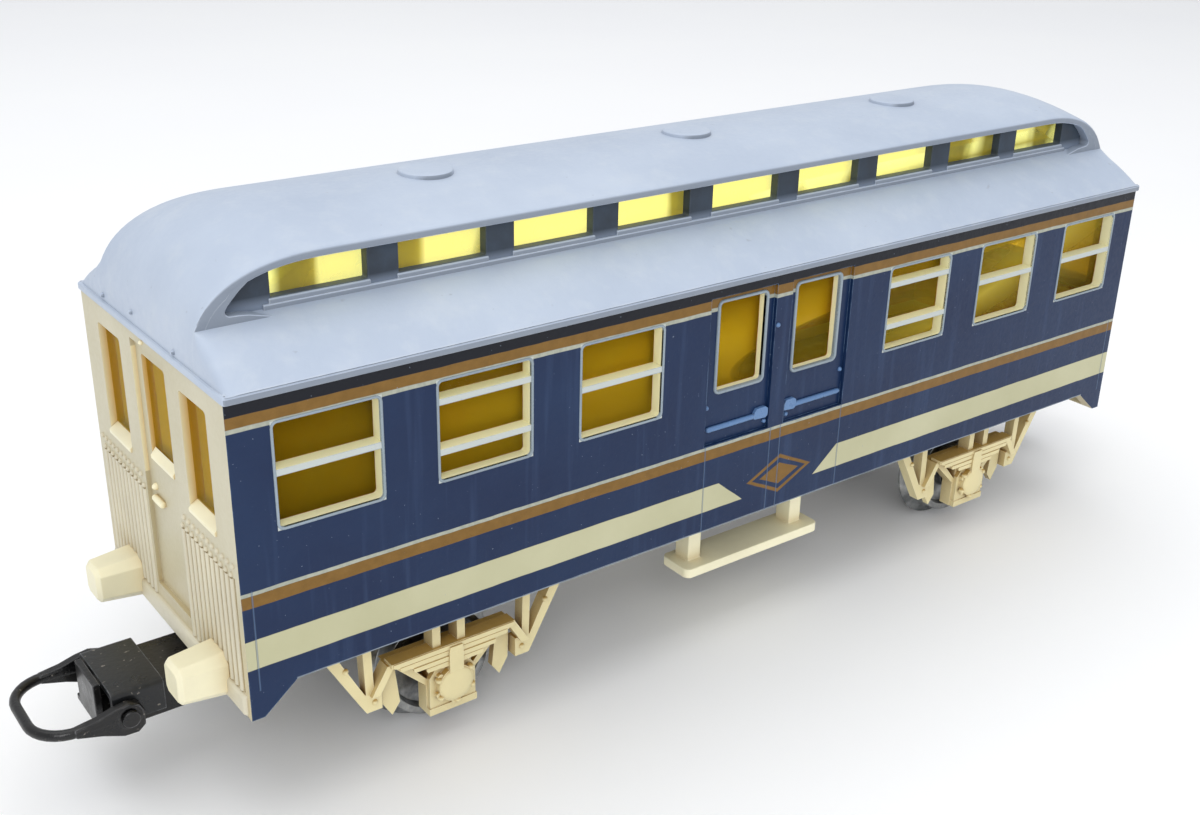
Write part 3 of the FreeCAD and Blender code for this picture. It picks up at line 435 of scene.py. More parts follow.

    # cream plastic, darker and warmer in corners as painted shade, and warmer towards the frame as painted
    # light through the plastic; painted light colours the reveals and the lining
    body = paint.mix(paint.ramp(cloud, 0.35, 0.65), (196, 188, 158), (206, 199, 172))
    body = paint.mix(paint.product(paint.recess(2.2), 0.8), body, (150, 118, 46))
    body = paint.mix(paint.ramp(paint.z, 20.0, 11.5, 0.0, 0.35), body, (206, 180, 118))
    body = paint.mix(reveal, body, (250, 246, 205))
    deep = paint.mix(paint.ramp(abs_x, 55.0, 54.2), (234, 226, 190), (206, 160, 70))
    body = paint.mix(end_reveal, body, deep)
    lining = paint.mix(paint.ramp(paint.z, 35.0, 27.5), (248, 206, 122), (196, 104, 30))
    # streaks in the lining are painted reflections
    swirl = paint.noise(0.14, 3, stretch=(0.7, 1.0, 2.2))
    lining = paint.mix(paint.ramp(swirl, 0.46, 0.4, 0.0, 0.7), lining, (150, 62, 10))
    lining = paint.mix(paint.ramp(swirl, 0.54, 0.62, 0.0, 0.7), lining, (255, 240, 170))
    body = paint.mix(inside, body, lining)

    colour = paint.mix(side, body, print_colour)
    # edges paler from wear and a painted highlight, blue-grey on the print
    rub_and_highlight = paint.product(paint.edges(0.15), paint.ramp(paint.noise(0.5, 4), 0.42, 0.6), 0.75)
    colour = paint.mix(rub_and_highlight, colour, paint.mix(side, (222, 218, 200), (118, 146, 178)))
    rough = paint.math("MULTIPLY_ADD", paint.ramp(fine, 0.3, 0.7), 0.16, 0.3)
    bump = paint.math("ADD", fine, paint.product(cloud, 2.0))
    bump = paint.math("SUBTRACT", bump, paint.product(seams, 3.0))
    paint.shader.inputs["Specular IOR Level"].default_value = 0.3
    return paint.finish(colour, bump, 0.02, rough)


def roof_grey():
    """Grey roof plastic: cloudy and dusty, darker in corners and on its upright sides as painted shade,
    paler at edges from wear and a painted highlight.
    """
    paint = Paint("roof_grey", 0.45)
    cloud = paint.noise(0.06, 5, 0.6)
    fine = paint.noise(1.8, 4, 0.6)
    colour = paint.mix(paint.ramp(cloud, 0.35, 0.68), (176, 188, 206), (188, 199, 215))
    dust = paint.product(paint.ramp(paint.noise(0.35, 5, 0.65), 0.5, 0.72), 0.35)
    colour = paint.mix(dust, colour, (200, 208, 217))
    # painted shade in corners
    colour = paint.mix(paint.product(paint.recess(3.0), 0.75), colour, (92, 98, 108))
    # painted shade on the upright sides
    normal = paint.split(paint.normal)
    sideways = paint.ramp(paint.math("ABSOLUTE", normal[1]), 0.6, 0.85)
    upright = paint.ramp(normal[2], 0.55, 0.25)
    colour = paint.mix(paint.product(sideways, upright, 0.75), colour, (112, 120, 132))
    marks = paint.ramp(paint.noise(1.1, 3, 0.5), 0.72, 0.77, 0.0, 0.4)
    colour = paint.mix(marks, colour, (150, 156, 168))
    # edges paler from wear and a painted highlight
    wear_and_highlight = paint.product(paint.edges(0.2), paint.ramp(paint.noise(0.5, 4), 0.35, 0.6), 0.6)
    colour = paint.mix(wear_and_highlight, colour, (212, 218, 226))
    rough = paint.ramp(fine, 0.3, 0.7, 0.36, 0.52)
    bump = paint.math("ADD", paint.product(fine, 0.6), paint.product(cloud, 3.0))
    return paint.finish(colour, bump, 0.03, rough)


def recess_shade_grey():
    """The clerestory walls, painted dark as the shade under the lip, with painted light at their foot and
    paler edges.
    """
    paint = Paint("recess_shade_grey", 0.6)
    cloud = paint.noise(0.4, 4)
    # dark paint that stands in for the shade under the lip
    colour = paint.mix(paint.ramp(cloud, 0.35, 0.65), (40, 50, 62), (56, 68, 82))
    # painted light on the foot of the walls
    colour = paint.mix(paint.ramp(paint.z, 43.7, 42.9), colour, (120, 132, 150))
    colour = paint.mix(paint.product(paint.edges(0.15), 0.5), colour, (120, 128, 144))
    return paint.finish(colour, paint.noise(2.0, 3), 0.02, paint.ramp(cloud, 0.3, 0.7, 0.5, 0.7))


def glazing(name, tint_low, tint_high, milk, painted_glow=0.0):
    """Clear amber plastic: tinted light goes through it, some is mirrored or scattered, and patches of it
    can shine with painted light.
    """
    paint = Paint(name, 0.12)
    tree = paint.tree
    clear = tree.nodes.new("ShaderNodeBsdfTransparent")
    ripple = paint.noise(0.25, 3)
    paint.feed(clear.inputs["Color"], paint.mix(paint.ramp(ripple, 0.35, 0.65), tint_low, tint_high))
    scattered = tree.nodes.new("ShaderNodeBsdfTranslucent")
    scattered.inputs["Color"].default_value = linear((250, 240, 96))
    haze = tree.nodes.new("ShaderNodeMixShader")
    cloud = paint.noise(0.16, 4, stretch=(1.0, 0.2, 0.6))
    paint.feed(haze.inputs[0], paint.ramp(cloud, 0.35, 0.65, milk * 0.5, milk * 1.5))
    paint.feed(haze.inputs[1], clear.outputs[0])
    paint.feed(haze.inputs[2], scattered.outputs[0])
    through = haze.outputs[0]
    if painted_glow:
        # painted light: patches of the plastic shine as though lit from the far side, though it is no lamp
        glow_emission = tree.nodes.new("ShaderNodeEmission")
        glow_emission.inputs["Color"].default_value = linear((250, 253, 172))
        patch = paint.ramp(paint.noise(0.17, 1, 0.3, stretch=(1.0, 0.1, 0.3)), 0.42, 0.48, 0.12, 1.0)
        paint.feed(glow_emission.inputs["Strength"], paint.math("MULTIPLY", patch, painted_glow))
        lit = tree.nodes.new("ShaderNodeAddShader")
        paint.feed(lit.inputs[0], haze.outputs[0])
        paint.feed(lit.inputs[1], glow_emission.outputs[0])
        through = lit.outputs[0]
    scuffs = paint.ramp(paint.noise(0.7, 5, 0.65), 0.45, 0.8)
    bump = paint.math("ADD", ripple, paint.product(scuffs, 0.2))
    paint.finish((226, 200, 60), bump, 0.05, paint.ramp(scuffs, 0.0, 1.0, 0.06, 0.28))
    weight = tree.nodes.new("ShaderNodeFresnel")
    weight.inputs["IOR"].default_value = 1.45
    blend = tree.nodes.new("ShaderNodeMixShader")
    paint.feed(blend.inputs[0], paint.math("MULTIPLY_ADD", weight.outputs[0], 0.8, 0.01))
    paint.feed(blend.inputs[1], through)
    paint.feed(blend.inputs[2], paint.shader.outputs[0])
    paint.feed(tree.nodes["Material Output"].inputs["Surface"], blend.outputs[0])
    return paint.material


def metal(name, bright, dull, roughness, edge):
    """Metal or metal-like surface with tarnish, fine turning marks, painted shade in corners and edges paler
    from wear.
    """
    paint = Paint(name, roughness, 1.0)
    cloud = paint.noise(0.5, 5, 0.6)
    fine = paint.noise(3.0, 3)
    colour = paint.mix(paint.ramp(cloud, 0.35, 0.62), bright, dull)
    # painted shade in corners
    colour = paint.mix(paint.product(paint.recess(1.5), 0.7), colour, tuple(c // 3 for c in dull))
    colour = paint.mix(paint.product(paint.edges(0.12), 0.7), colour, edge)
    rough = paint.ramp(cloud, 0.3, 0.7, roughness - 0.06, roughness + 0.16)
    return paint.finish(colour, fine, 0.015, rough)


def worn_black(name, body, dust, edge, roughness=0.4):
    """Black plastic and blackened metal: dusty faces, and bright edges from wear and a painted highlight."""
    paint = Paint(name, roughness)
    cloud = paint.noise(0.35, 5, 0.65)
    fine = paint.noise(2.5, 3)
    colour = paint.mix(paint.ramp(cloud, 0.42, 0.7), body, dust)
    specks = paint.ramp(paint.noise(2.2, 3, 0.5), 0.68, 0.74, 0.0, 0.7)
    colour = paint.mix(specks, colour, (150, 142, 132))
    # edges bright from wear and a painted highlight
    wear_and_highlight = paint.product(paint.edges(0.16), paint.ramp(paint.noise(0.7, 4), 0.38, 0.56), 0.85)
    colour = paint.mix(wear_and_highlight, colour, edge)
    rough = paint.ramp(cloud, 0.3, 0.7, roughness - 0.1, roughness + 0.15)
    return paint.finish(colour, fine, 0.03, rough)


def floor_paint():
    """The plain pale floor of the studio."""
    paint = Paint("studio_floor", 0.55)
    cloud = paint.noise(0.01, 3)
    colour = paint.mix(paint.ramp(cloud, 0.3, 0.7), (253, 253, 254), (255, 255, 255))
    return paint.finish(colour, paint.noise(0.5, 3), 0.02)


PRINT = coach_print()
ROOF = roof_grey()
RECESS = recess_shade_grey()
GLASS = glazing("amber_glazing", (255, 240, 176), (255, 245, 192), 0.05)
# the clerestory panes shine in patches with painted light
ROOF_GLASS = glazing("clerestory_amber", (252, 250, 214), (253, 252, 222), 0.3, 0.62)
CREAM = plastic("cream_moulding", (222, 215, 190), (150, 118, 46), (236, 232, 214))
PALE = plastic("pale_cream_moulding", (255, 248, 212), (196, 150, 60), (255, 252, 232), 0.36, 2.0)
# the axle guards take strong painted shade in corners and on faces that look up
FRAME = plastic(
    "axle_guard_cream", (240, 226, 174), (132, 84, 8), (255, 248, 216), 0.36, 5.0, strength=1.0,
    upward_shade=(176, 136, 52),
)
SILVER = plastic("silvered_rim", (150, 164, 174), (70, 84, 104), (214, 222, 224), 0.3, 0.5)
BLUE = plastic("blue_moulding", (98, 134, 180), (30, 44, 84), (188, 208, 232), 0.3, 0.6)
BLACK = worn_black("black_moulding", (24, 24, 26), (52, 48, 44), (120, 116, 110))
COUPLER = worn_black("coupler_black", (8, 8, 9), (26, 22, 19), (170, 170, 174), 0.3)
CAP = worn_black("coupler_cap", (20, 22, 24), (36, 36, 36), (176, 180, 186), 0.34)
WHEEL = metal("wheel_steel", (176, 178, 178), (120, 122, 124), 0.3, (220, 222, 222))
BALLAST = metal("ballast_steel", (120, 116, 108), (92, 84, 72), 0.5, (160, 156, 148))
SCREW = metal("screw_steel", (150, 150, 150), (104, 102, 98), 0.34, (210, 210, 210))
BUSH = plastic("bush_plastic", (38, 36, 36), (16, 14, 14), (84, 82, 80), 0.5, 1.0)


# ---------------------------------------------------------------- carried-over CAD nodes


def dress(node, material, bevel):
    """Give a CAD node its material and soften its edges with modifiers only."""
    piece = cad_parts[node]
    data = piece.data
    if "custom_normal" in data.attributes:
        data.attributes.remove(data.attributes["custom_normal"])
    data.shade_smooth()
    data.materials.clear()
    data.materials.append(material)
    weld = piece.modifiers.new("weld", "WELD")
    weld.merge_threshold = 0.002 * MM
    if bevel:
        flat = piece.modifiers.new("flat_faces", "DECIMATE")
        flat.decimate_type = "DISSOLVE"
        flat.angle_limit = math.radians(1.0)
        soften(piece, bevel, 32.0)


dress("body_shell", PRINT, 0.12)
dress("chassis_floor", BLACK, 0.1)
dress("ballast_weight", BALLAST, 0.15)
for side in ("left", "right"):
    dress("side_glazing_" + side, GLASS, 0.0)
    dress("clerestory_glazing_" + side, ROOF_GLASS, 0.0)
    dress("step_board_" + side, PALE, 0.15)
for end in ("front", "rear"):
    dress("end_glazing_" + end, GLASS, 0.0)
    for side in ("left", "right"):
        dress("buffer_%s_%s" % (end, side), PALE, 0.1)
        dress("wheel_frame_%s_%s" % (end, side), FRAME, 0.1)
        dress("wheel_%s_%s" % (end, side), WHEEL, 0.08)
    dress("axle_" + end, WHEEL, 0.06)
    dress("insulating_bush_" + end, BUSH, 0.05)
    dress("coupler_drawbar_" + end, COUPLER, 0.12)
    dress("coupler_head_" + end, CAP, 0.16)
    dress("coupler_screw_" + end, SCREW, 0.08)
    dress("loop_pin_" + end, COUPLER, 0.08)


# ---------------------------------------------------------------- roof

# The deck runs level to START; its end curves down over REACH, squarer the greater FULLNESS is.
START, REACH = 43.8, 11.1
FULLNESS = 2.3
# Heights of the curve's lower end and of the deck's edge and crown.
BASE, EDGE, CROWN = 40.3, 46.9, 48.55
# Half the deck's width, its thickness and the radius that rounds its edge.
HALF, THICK, LIP = 10.0, 0.8, 0.3
# The lower roof rises from RIM at OUTER to FOOT at INNER, bulging by BULGE on the way.
RIM, FOOT, INNER, OUTER = 39.1, 42.6, 9.0, 15.6
BULGE = 0.35
# The curve turns 90 degrees to BASE; the stations from there to RIM_TURN go straight down to the rim.
RIM_TURN = 100
# Steps of the lower roof: level, round the hip, and down the end.
LEVEL_STEPS, ROUND_STEPS, END_STEPS = 7, 6, 26


def end_level(turn):
    """Where the end curve is after some degrees: distance share and height share."""
    reach = math.sin(math.radians(min(turn, 90.0)))
    return reach, (1 - reach ** FULLNESS) ** (1 / FULLNESS)


def end_point(turn, top, drop=0.0):
    """x and z on the end curve of a roof line that is level at a height; a drop runs it further in."""
    reach, level = end_level(turn)
    x = START + (REACH - drop) * reach
    if turn <= 90:
        return x, BASE + (top - drop - BASE) * level
    return x, BASE - (BASE - RIM) * (turn - 90) / (RIM_TURN - 90)


def edge_over(x):
    """Height of the deck's edge above a place along the coach."""
    return end_point(math.degrees(math.asin(max(abs(x) - START, 0.0) / REACH)), EDGE)[1]


def hip(z):
    """Degrees along the end curve at which the deck's edge has come down to a height."""
    if z < BASE:
        return 90 + (RIM_TURN - 90) * (BASE - z) / (BASE - RIM)
    level = (z - BASE) / (EDGE - BASE)
    return math.degrees(math.asin((1 - level ** FULLNESS) ** (1 / FULLNESS)))


def slope(y):
    """Height of the lower roof, a slightly bulged line from rim to clerestory."""
    share = (OUTER - y) / (OUTER - INNER)
    return RIM + (FOOT - RIM) * share + 4 * BULGE * share * (1 - share)


# Where the deck's edge meets the lower roof, and how far along its underside stands clear.
FIRST_HIP = hip(slope(HALF))
CLEAR_TO = 51.6


def deck_at(station, y, side):
    """A point of the deck; stations are millimetres to START and degrees after it, side 1 is underneath."""
    sign = -1 if station < 0 else 1
    step = abs(station)
    drop = THICK * side
    if step <= START:
        x, edge, crown = step, EDGE - drop, CROWN - drop
        turn = 0.0
    else:
        turn = step - START
        x, edge = end_point(turn, EDGE, drop)
        crown = end_point(turn, CROWN, drop)[1]
    z = crown - (crown - edge) * (y / HALF) ** 2
    inward = HALF - abs(y)
    if inward < LIP:
        # the rounding fades out over the last 8 degrees before the hip
        shown = min(max((FIRST_HIP - turn) / 8, 0.0), 1.0)
        sunk = (LIP - math.sqrt(LIP ** 2 - (LIP - inward) ** 2)) * shown
        if side == 0:
            z -= sunk
        elif x < CLEAR_TO:
            z += sunk
    return sign * x, y, z


def make_deck():
    """The clerestory's lid, from rim to rim over both ends."""
    deck = Shape()
    level = [START * k / 10 for k in range(11)]
    bend = [START + FIRST_HIP * k / 16 for k in range(1, 17)]
    tail = [START + FIRST_HIP + (RIM_TURN - FIRST_HIP) * k / END_STEPS for k in range(1, END_STEPS + 1)]
    across = [0.0, 1.5, 3.0, 4.5, 6.0, 7.5, 8.8, HALF - LIP, HALF - 0.14, HALF - 0.05, HALF]
    deck.sheet(both_ways(level + bend + tail), both_ways(across), deck_at)
    deck.piece("roof_deck", ROOF, "coach", "grey_moulding", replaces=["roof"], angle=28)


def slope_at(station, y, side):
    """A point of the lower roof; side 1 is its inner face."""
    sign = -1 if station < 0 else 1
    step = abs(station)
    z = slope(y)
    start = hip(z)
    # the rows that run in under the deck stay a little below it
    sunk = 0.35 if y < HALF else 0.0
    # the hip starts sharp at the deck's edge and is fully rounded 1.2 mm away from it
    soft = 1.1 * min(max((y - HALF) / 1.2, 0.02), 1.0)
    corner = end_point(start, EDGE)[0]
    resume = start + soft * 90 / (REACH * 1.2)
    if step <= LEVEL_STEPS:
        x = (corner - soft - sunk) * step / LEVEL_STEPS
    elif step <= LEVEL_STEPS + ROUND_STEPS:
        t = (step - LEVEL_STEPS) / ROUND_STEPS
        after = end_point(resume, EDGE)
        x = (1 - t) ** 2 * (corner - soft) + 2 * t * (1 - t) * corner + t ** 2 * after[0] - sunk
        z = (1 - t ** 2) * z + t ** 2 * after[1] - sunk * t
    else:
        turn = resume + (RIM_TURN - resume) * (step - LEVEL_STEPS - ROUND_STEPS) / END_STEPS
        x, z = end_point(turn, EDGE)
        x, z = x - sunk, z - sunk
    if side:
        x -= 0.9 * min(max(step - LEVEL_STEPS + 1, 0.0) / 2, 1.0)
        return sign * x, -min(y, 13.9), max(z - 1.0, RIM - 0.1)
    return sign * x, -y, max(z, RIM - 0.02)


def make_slopes():
    """The lower roof with its rim, and the three round vents and the pips that stand on the roof."""
    slopes = Shape()
    stations = both_ways(list(range(LEVEL_STEPS + 1 + ROUND_STEPS + END_STEPS)))
    rows = [8.9, 9.3, 9.7, HALF - 0.02, HALF, 10.8, 11.7, 12.6, 13.5, 14.3, 14.9, 15.3, OUTER - 0.03]
    slopes.sheet(stations, rows, slope_at)
    slopes.mirrored("y")

    rim = [(0.0, 38.55), (-0.05, 38.45), (-0.2, 38.4), (-1.7, 38.4), (-1.7, 39.1), (-0.22, RIM + 0.02),
           (-0.07, 39.05), (0.0, 38.93)]
    slopes.hoop((0, 0), (55.15, OUTER), 0.35, rim, "z")

    vent = [(-0.7, 2.46), (-0.12, 2.46), (0.12, 2.4), (0.24, 2.36), (0.31, 2.26), (0.33, 2.1),
            (0.34, 1.2), (0.35, 0.3)]
    for x in (-29.25, 0, 29.25):
        slopes.turned((x, 0, CROWN), "z", vent, 48)

    for y, z in ((2.6, 40.1), (9.3, 39.6), (-6.1, 39.5)):
        for x in (-START - REACH, START + REACH):
            slopes.rivet((x, y, z), "x", 0.22, math.copysign(0.3, x))
    slopes.piece("roof_slopes", ROOF, "coach", "grey_moulding", bevel=0.45, replaces=["roof"], angle=22)


def make_cheeks():
    """The solid corners that close the clerestory's sides under the curved ends of the deck."""
    # the recess under the lip tapers to a rounded corner, and its floor rises towards it
    pocket = [(50.2, 45.25), (50.9, 44.7), (51.5, 44.1), (51.95, 43.6), (52.12, 43.3), (52.08, 43.05),
              (51.85, 42.9), (51.1, 42.85), (50.3, 42.75), (49.3, 42.5), (48.3, 42.25), (47.3, 42.0)]
    top = [(x, edge_over(x) - 0.45) for x in (54.3, 53.8, 53.2, 52.5, 51.8, 51.0, 50.2)]
    cheeks = Shape()
    cheeks.prism(pocket + [(47.3, 41.0), (54.3, 41.0)] + top, "y", -9.99, -8.05)
    cheeks.mirrored("y", "x")
    cheeks.piece("roof_cheeks", ROOF, "coach", "grey_moulding", bevel=0.1, replaces=["roof"])


make_deck()
make_slopes()
make_cheeks()


# ---------------------------------------------------------------- clerestory

# Places of its nine openings a side, and half of one's length.
OPENINGS = [11 * number for number in range(-4, 5)]
OPENING_HALF = 4.1


def make_clerestory_walls():
    """The upright walls with their openings."""
    ends = [49.2, 50.2, 51.0, 51.8]
    cuts = sorted(x + s * OPENING_HALF for x in OPENINGS for s in (-1, 1))
    xs = [-x for x in reversed(ends)] + cuts + ends
    first, last = len(ends), len(ends) + len(cuts) - 2

    def at(x, level, side):
        return x, (-9.0, -8.0)[side], (42.2, 43.4, min(46.55, edge_over(x) - 0.4))[level]

    def solid(i, j):
        """The lower row is a sill; above it every other column between the ends is an opening."""
        return j == 0 or i < first or i > last or (i - first) % 2 == 1

    walls = Shape()
    walls.sheet(xs, [0, 1, 2], at, solid)
    walls.mirrored("y")
    walls.piece("clerestory_walls", RECESS, "coach", "grey_moulding", bevel=0.08, replaces=["roof"])


def make_clerestory_sills():
    """A rail along the foot of the walls and a raised strip under each opening."""
    sills = Shape()
    rail = [(42.35, -9.22), (42.85, -9.22), (42.95, -9.12), (42.95, -8.6), (42.3, -8.6)]
    sills.skin([[(x, y, z) for z, y in rail] for x in (-48.8, 48.8)])
    strip = [(42.9, -9.16), (43.22, -9.16), (43.34, -9.08), (43.36, -8.6), (42.9, -8.6)]
    reach = OPENING_HALF + 0.2
    for x in OPENINGS:
        sills.skin([[(x + s, y, z) for z, y in strip] for s in (-reach, reach)])
    sills.mirrored("y")
    sills.piece("clerestory_sills", ROOF, "coach", "grey_moulding", bevel=0.07, replaces=["roof"])


make_clerestory_walls()
make_clerestory_sills()


# ---------------------------------------------------------------- sides

# Outer faces of the body, and of the doors that are sunk into its sides and ends.
SHELL_CORNER = box_mm("body_shell")[1]
SIDE, END = SHELL_CORNER.y, SHELL_CORNER.x
DOOR_SIDE, DOOR_END = -SIDE + 0.4, -END + 0.4


def make_window_rims():
    """Rims that stand out around the side windows and lie inside the door windows."""
    rims = Shape()
    raised = [(0.0, -SIDE + 0.2), (0.0, -SIDE - 0.04), (0.05, -SIDE - 0.09), (0.17, -SIDE - 0.09),
              (0.23, -SIDE - 0.04), (0.24, -SIDE + 0.1)]
    for centre in both_ways([FIRST_WINDOW + WINDOW_PITCH * number for number in range(3)]):
        rims.hoop((centre, 31.8), (4.4, 4.3), 0.36, raised)
    sunk = [(0.0, DOOR_SIDE + 0.3), (0.0, DOOR_SIDE - 0.12), (0.07, DOOR_SIDE - 0.18),
            (0.2, DOOR_SIDE - 0.18), (0.28, DOOR_SIDE - 0.1), (0.3, DOOR_SIDE + 0.1)]
    for centre in (-4.85, 4.85):
        rims.hoop((centre, 32.45), (2.85, 4.35), 0.36, sunk)
    rims.mirrored("y")
    rims.piece("window_rims", SILVER, "coach", "cream_moulding", angle=50)


def make_handrails():
    """Rails across the double doors, with their latches and studs."""
    rails = Shape()
    for low, high in ((-8.8, -2.6), (1.5, 8.8)):
        rail = [(low, 0.05), (low + 0.08, 0.2), (low + 0.3, 0.26), (high - 0.3, 0.26), (high - 0.08, 0.2),
                (high, 0.05)]
        rails.turned((0, DOOR_SIDE - 0.12, 24.45), "x", rail, 12)
    for low, high in ((-2.8, -1.05), (1.1, 2.7)):
        latch = [(low, 24.15), (high - 0.3, 24.05), (high, 24.3), (high, 25.0), (high - 0.35, 25.25),
                 (low + 0.3, 25.2), (low, 24.8)]
        rails.prism(latch, "y", DOOR_SIDE - 0.36, DOOR_SIDE + 0.1)
    studs = ((-1.25, 23.6, DOOR_SIDE), (1.65, 23.6, DOOR_SIDE), (-8.75, 26.7, DOOR_SIDE),
             (8.75, 26.7, DOOR_SIDE), (-0.66, 33.4, -SIDE), (-1.3, 24.3, DOOR_SIDE))
    for x, z, face in studs:
        rails.rivet((x, face + 0.02, z), "y", 0.26, -0.26)
    rails.mirrored("y")
    rails.piece("door_handrails", BLUE, "coach", "cream_moulding", bevel=0.08)


make_window_rims()
make_handrails()


# ---------------------------------------------------------------- end walls

# End windows: edges in y, foot, and how far in from the end wall the sill's face and the pane's face are.
END_WINDOWS = (
    (-2.45, 2.45, 27.65, DOOR_END + END, 0.75),
    (6.45, 11.55, 26.65, 0.0, 0.6),
    (-11.55, -6.45, 26.65, 0.0, 0.6),
)
RIB_PITCH, RIB_HALF = 0.95, 0.3


def make_planking():
    """Upright planks on either side of the end door, each with two nail heads above it."""
    planks = Shape()
    for number in range(11):
        y = 4.3 + RIB_PITCH * number
        section = [(y - RIB_HALF, -END + 0.1), (y - 0.28, -END - 0.03), (y - 0.14, -END - 0.14),
                   (y + 0.14, -END - 0.14), (y + 0.28, -END - 0.03), (y + RIB_HALF, -END + 0.1)]
        planks.skin([[(x, across, z) for across, x in section] for z in (13.65, 23.75)])
        for z, shift in ((24.05, 0.0), (24.95, 0.45)):
            planks.rivet((-END + 0.02, y + shift, z), "x", 0.26, -0.24)
    planks.mirrored("y", "x")
    planks.piece("end_planking", CREAM, "coach", "cream_moulding", angle=50)


def make_end_windows():
    """Sloping sills and flat panes of the door window and its two neighbours."""
    sills = Shape()
    panes = Shape()
    back = -END + 0.7
    for low, high, foot, sill, pane in END_WINDOWS:
        face, level = -END + sill, foot - 0.03
        section = [(face - 0.16, level - 0.4), (face - 0.2, level - 0.05), (face - 0.05, level + 0.12),
                   (back, level + 0.62), (back, level - 0.3)]
        sills.skin([[(x, y, z) for x, z in section] for y in (low, high)])
        left, right = low - 0.02, high + 0.02
        outline = [(left, foot), (right, foot), (right, 36.3), (right - 0.3, 36.57), (left + 0.3, 36.57),
                   (left, 36.3)]
        panes.prism(outline, "x", -END + pane, -END + 1.28)
    sills.mirrored("x")
    sills.piece("end_window_sills", PALE, "coach", "cream_moulding", bevel=0.06)
    panes.mirrored("x")
    panes.piece("end_window_panes", GLASS, "coach", "amber_glazing", bevel=0.04)


def make_headstocks():
    """The plates across both ends at floor level, thinner at their tips."""
    plates = Shape()
    rings = []
    for y, out in ((-14.7, 0.12), (-14.4, 0.34), (14.4, 0.34), (14.7, 0.12)):
        rings.append([(-END + 0.2, y, 11.5), (-END - out, y, 11.7), (-END - out, y, 13.15),
                      (-END - out * 0.6, y, 13.45), (-END + 0.2, y, 13.6)])
    plates.skin(rings)
    plates.mirrored("x")
    plates.piece("headstock_plates", CREAM, "coach", "cream_moulding", bevel=0.12)


def make_door_furniture():
    """The end door's rail and knob, and the stud over the door."""
    furniture = Shape()
    rail = [(0.5, 0.12), (0.6, 0.3), (1.6, 0.34), (2.5, 0.3), (2.6, 0.12)]
    furniture.turned((DOOR_END - 0.2, 0, 23.6), "y", rail, 12)
    furniture.rivet((DOOR_END + 0.05, 2.4, 24.6), "x", 0.34, -0.45, 14)
    furniture.rivet((-END + 0.02, 0.7, 38.15), "x", 0.22, -0.3)
    furniture.mirrored("x")
    furniture.piece("end_door_furniture", PALE, "coach", "cream_moulding", bevel=0.05)


make_planking()
make_end_windows()
make_headstocks()
make_door_furniture()


# ---------------------------------------------------------------- axle guards

# Outer faces of the moulded springs and struts, and the height of the axles.
SPRING, STRUT = -13.1, -12.2
AXLE_LEVEL = 6.0
# A spring's leaves: half lengths from the top one down, the top of that one, thickness and pitch.
LEAF_HALVES = (6.15, 5.5, 4.2, 2.9)
LEAF_TOP, LEAF_THICK, LEAF_PITCH = 10.15, 0.46, 0.54
# How many bolts hold an axle-box cover, and the radius they stand on.
BOLTS, BOLT_RING = 6, 1.88


def make_guard_trim():
    """Leaves, buckles, domed axle-box covers and bolts on the moulded guards."""
    trim = Shape()
    low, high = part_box("axle_rear")
    middle = ((low + high) / 2 / MM).x
    for number, half in enumerate(LEAF_HALVES):
        top = LEAF_TOP - LEAF_PITCH * number
        foot = top - LEAF_THICK
        proud = 0.1 if number % 2 == 0 else 0.05
        leaf = [(-half, top - 0.3), (0.15 - half, foot), (half - 0.15, foot), (half, top - 0.3),
                (half, top), (-half, top)]
        trim.prism([(middle + x, z) for x, z in leaf], "y", SPRING - proud, SPRING + 0.2)

    dome = [(0.4, 1.72), (0.0, 1.72), (-0.1, 1.66), (-0.2, 1.46), (-0.28, 1.1), (-0.33, 0.7), (-0.35, 0.2)]
    trim.turned((middle, SPRING - 0.05, AXLE_LEVEL), "y", dome, 32)
    for number in range(BOLTS):
        turn = math.radians(25 + 360 / BOLTS * number)
        x, z = middle + BOLT_RING * math.cos(turn), AXLE_LEVEL + BOLT_RING * math.sin(turn)
        trim.rivet((x, SPRING + 0.1, z), "y", 0.31, -0.36, 12)
    for x, z in ((7.6, 6.5), (10.2, 10.6)):
        for side in (-1, 1):
            trim.rivet((middle + side * x, STRUT, z), "y", 0.28, -0.24)

    buckle = [(-0.75, 9.4), (0.75, 9.4), (0.62, 10.0), (-0.62, 10.0)]
    trim.prism([(middle + x, z) for x, z in buckle], "y", SPRING - 0.3, SPRING + 0.2)
    trim.mirrored("y", "x")
    trim.piece("axle_guard_trim", FRAME, "coach", "pale_cream_moulding", bevel=0.05)


make_guard_trim()


# ---------------------------------------------------------------- coupling loops

# Radius of the loop's wire and of the bends at its outer corners.
WIRE, CORNER = 0.45, 3.1


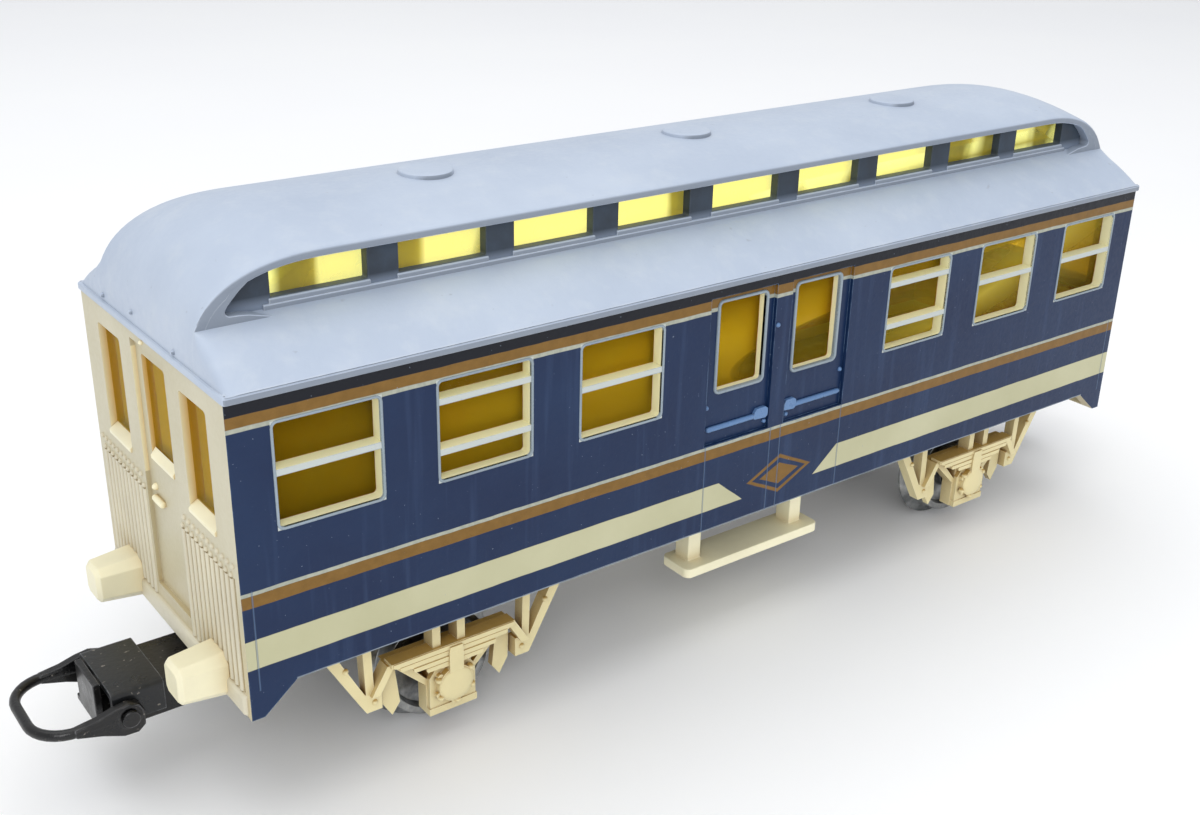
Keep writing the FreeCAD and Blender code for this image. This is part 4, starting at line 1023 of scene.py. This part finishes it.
def make_loop(end, sign):
    """A wire from eye to eye of a coupling loop, with a collar and a leaf at each eye."""
    node = "coupling_loop_" + end
    low, high = box_mm(node)
    pin_low, pin_high = box_mm("loop_pin_" + end)
    pin_x = (pin_low.x + pin_high.x) / 2
    level = (pin_low.z + pin_high.z) / 2
    tip = (low.x if sign < 0 else high.x) - sign * WIRE
    half = high.y - WIRE

    path = [(pin_x + sign * 0.9, -half), (pin_x + sign * 2.6, -half)]
    for k in range(9):
        turn = math.radians(90 * k / 8)
        path.append((tip - sign * CORNER * (1 - math.sin(turn)), -half + CORNER * (1 - math.cos(turn))))
    path = path + [(x, -y) for x, y in reversed(path)]
    points = [Vector((x, y, level)) for x, y in path]
    rings = []
    for k, point in enumerate(points):
        ahead = points[min(k + 1, len(points) - 1)] - points[max(k - 1, 0)]
        out = ahead.normalized().cross(AXIS["z"])
        # the wire grows taller towards its eyes
        near_eye = max(0.0, 1 - abs(point.x - pin_x) / 3.5)
        tall = 0.47 + 0.6 * near_eye ** 1.3
        turns = [math.tau * n / 14 for n in range(14)]
        rings.append([point + out * WIRE * math.cos(t) + AXIS["z"] * tall * math.sin(t) for t in turns])
    loop = Shape()
    loop.skin(rings)

    collar = [(-0.43, 0.56), (-0.43, 1.05), (-0.32, 1.17), (0.32, 1.17), (0.43, 1.05), (0.43, 0.56)]
    for y in (-half, half):
        loop.turned((pin_x, y, level), "y", collar, 28, hollow=True)
    leaf = [(-1.3, 0.2), (-1.25, -1.2), (-0.6, -1.75), (0.6, -1.7), (2.3, -1.0), (4.4, -0.38), (4.4, 0.36),
            (2.6, 0.62), (1.2, 1.02), (0.0, 1.2), (-0.9, 0.95)]
    for low_y, high_y in ((-half - 0.42, -half + 0.4), (half - 0.4, half + 0.42)):
        loop.prism([(pin_x + sign * x, level + z) for x, z in leaf], "y", low_y, high_y)
    body = "loop_" + end
    loop.piece(node + "_wire", COUPLER, body, "coupler_black", bevel=0.12, replaces=[node], angle=50)


make_loop("front", -1)
make_loop("rear", 1)


# ---------------------------------------------------------------- studio

# The camera at the photograph's viewing angle: its place in metres, and what is right, down and ahead of it.
CAMERA_PLACE = (-0.08869, -0.10324, 0.07853)
CAMERA_RIGHT = Vector((0.80000836, -0.5996161, 0.02114608))
CAMERA_DOWN = Vector((-0.22496796, -0.33245246, -0.91589562))
CAMERA_AHEAD = Vector((0.55621583, 0.72796696, -0.40085915))
# Square lights in metres and watts, aimed at a place just above the coach's foot.
PANELS = (
    ("sky_panel", (0.0, 0.05, 0.55), 0.6, 1.3),
    ("key_panel", (-0.35, -0.45, 0.35), 0.3, 1.1),
)
AIM = Vector((0, 0, 0.02))


def make_floor():
    """A wide plain floor under the wheels."""
    grid = bmesh.new()
    bmesh.ops.create_grid(grid, x_segments=8, y_segments=8, size=3.0)
    data = bpy.data.meshes.new("studio_floor")
    grid.to_mesh(data)
    grid.free()
    data.materials.append(floor_paint())
    floor = bpy.data.objects.new("studio_floor", data)
    scene.collection.objects.link(floor)


def make_light():
    """Soft light from all round and from two panels."""
    world = bpy.data.worlds.new("studio")
    world.use_nodes = True
    background = world.node_tree.nodes["Background"]
    background.inputs["Color"].default_value = (0.95, 0.97, 1.0, 1.0)
    background.inputs["Strength"].default_value = 0.72
    scene.world = world

    for name, place, size, power in PANELS:
        light = bpy.data.lights.new(name, "AREA")
        light.shape = "SQUARE"
        light.size = size
        light.energy = power
        lamp = bpy.data.objects.new(name, light)
        lamp.location = place
        lamp.rotation_euler = (AIM - Vector(place)).to_track_quat("-Z", "Y").to_euler()
        scene.collection.objects.link(lamp)


def make_camera():
    """The camera of the main view."""
    lens = bpy.data.cameras.new("camera")
    lens.lens = 41.99
    lens.sensor_width = 36.0
    lens.clip_start, lens.clip_end = 0.005, 20.0
    camera = bpy.data.objects.new("camera", lens)
    turn = Matrix((CAMERA_RIGHT, -CAMERA_DOWN, -CAMERA_AHEAD)).transposed().to_4x4()
    camera.matrix_world = Matrix.Translation(CAMERA_PLACE) @ turn
    scene.collection.objects.link(camera)
    scene.camera = camera
    scene.view_settings.view_transform = "Standard"


make_floor()
make_light()
make_camera()
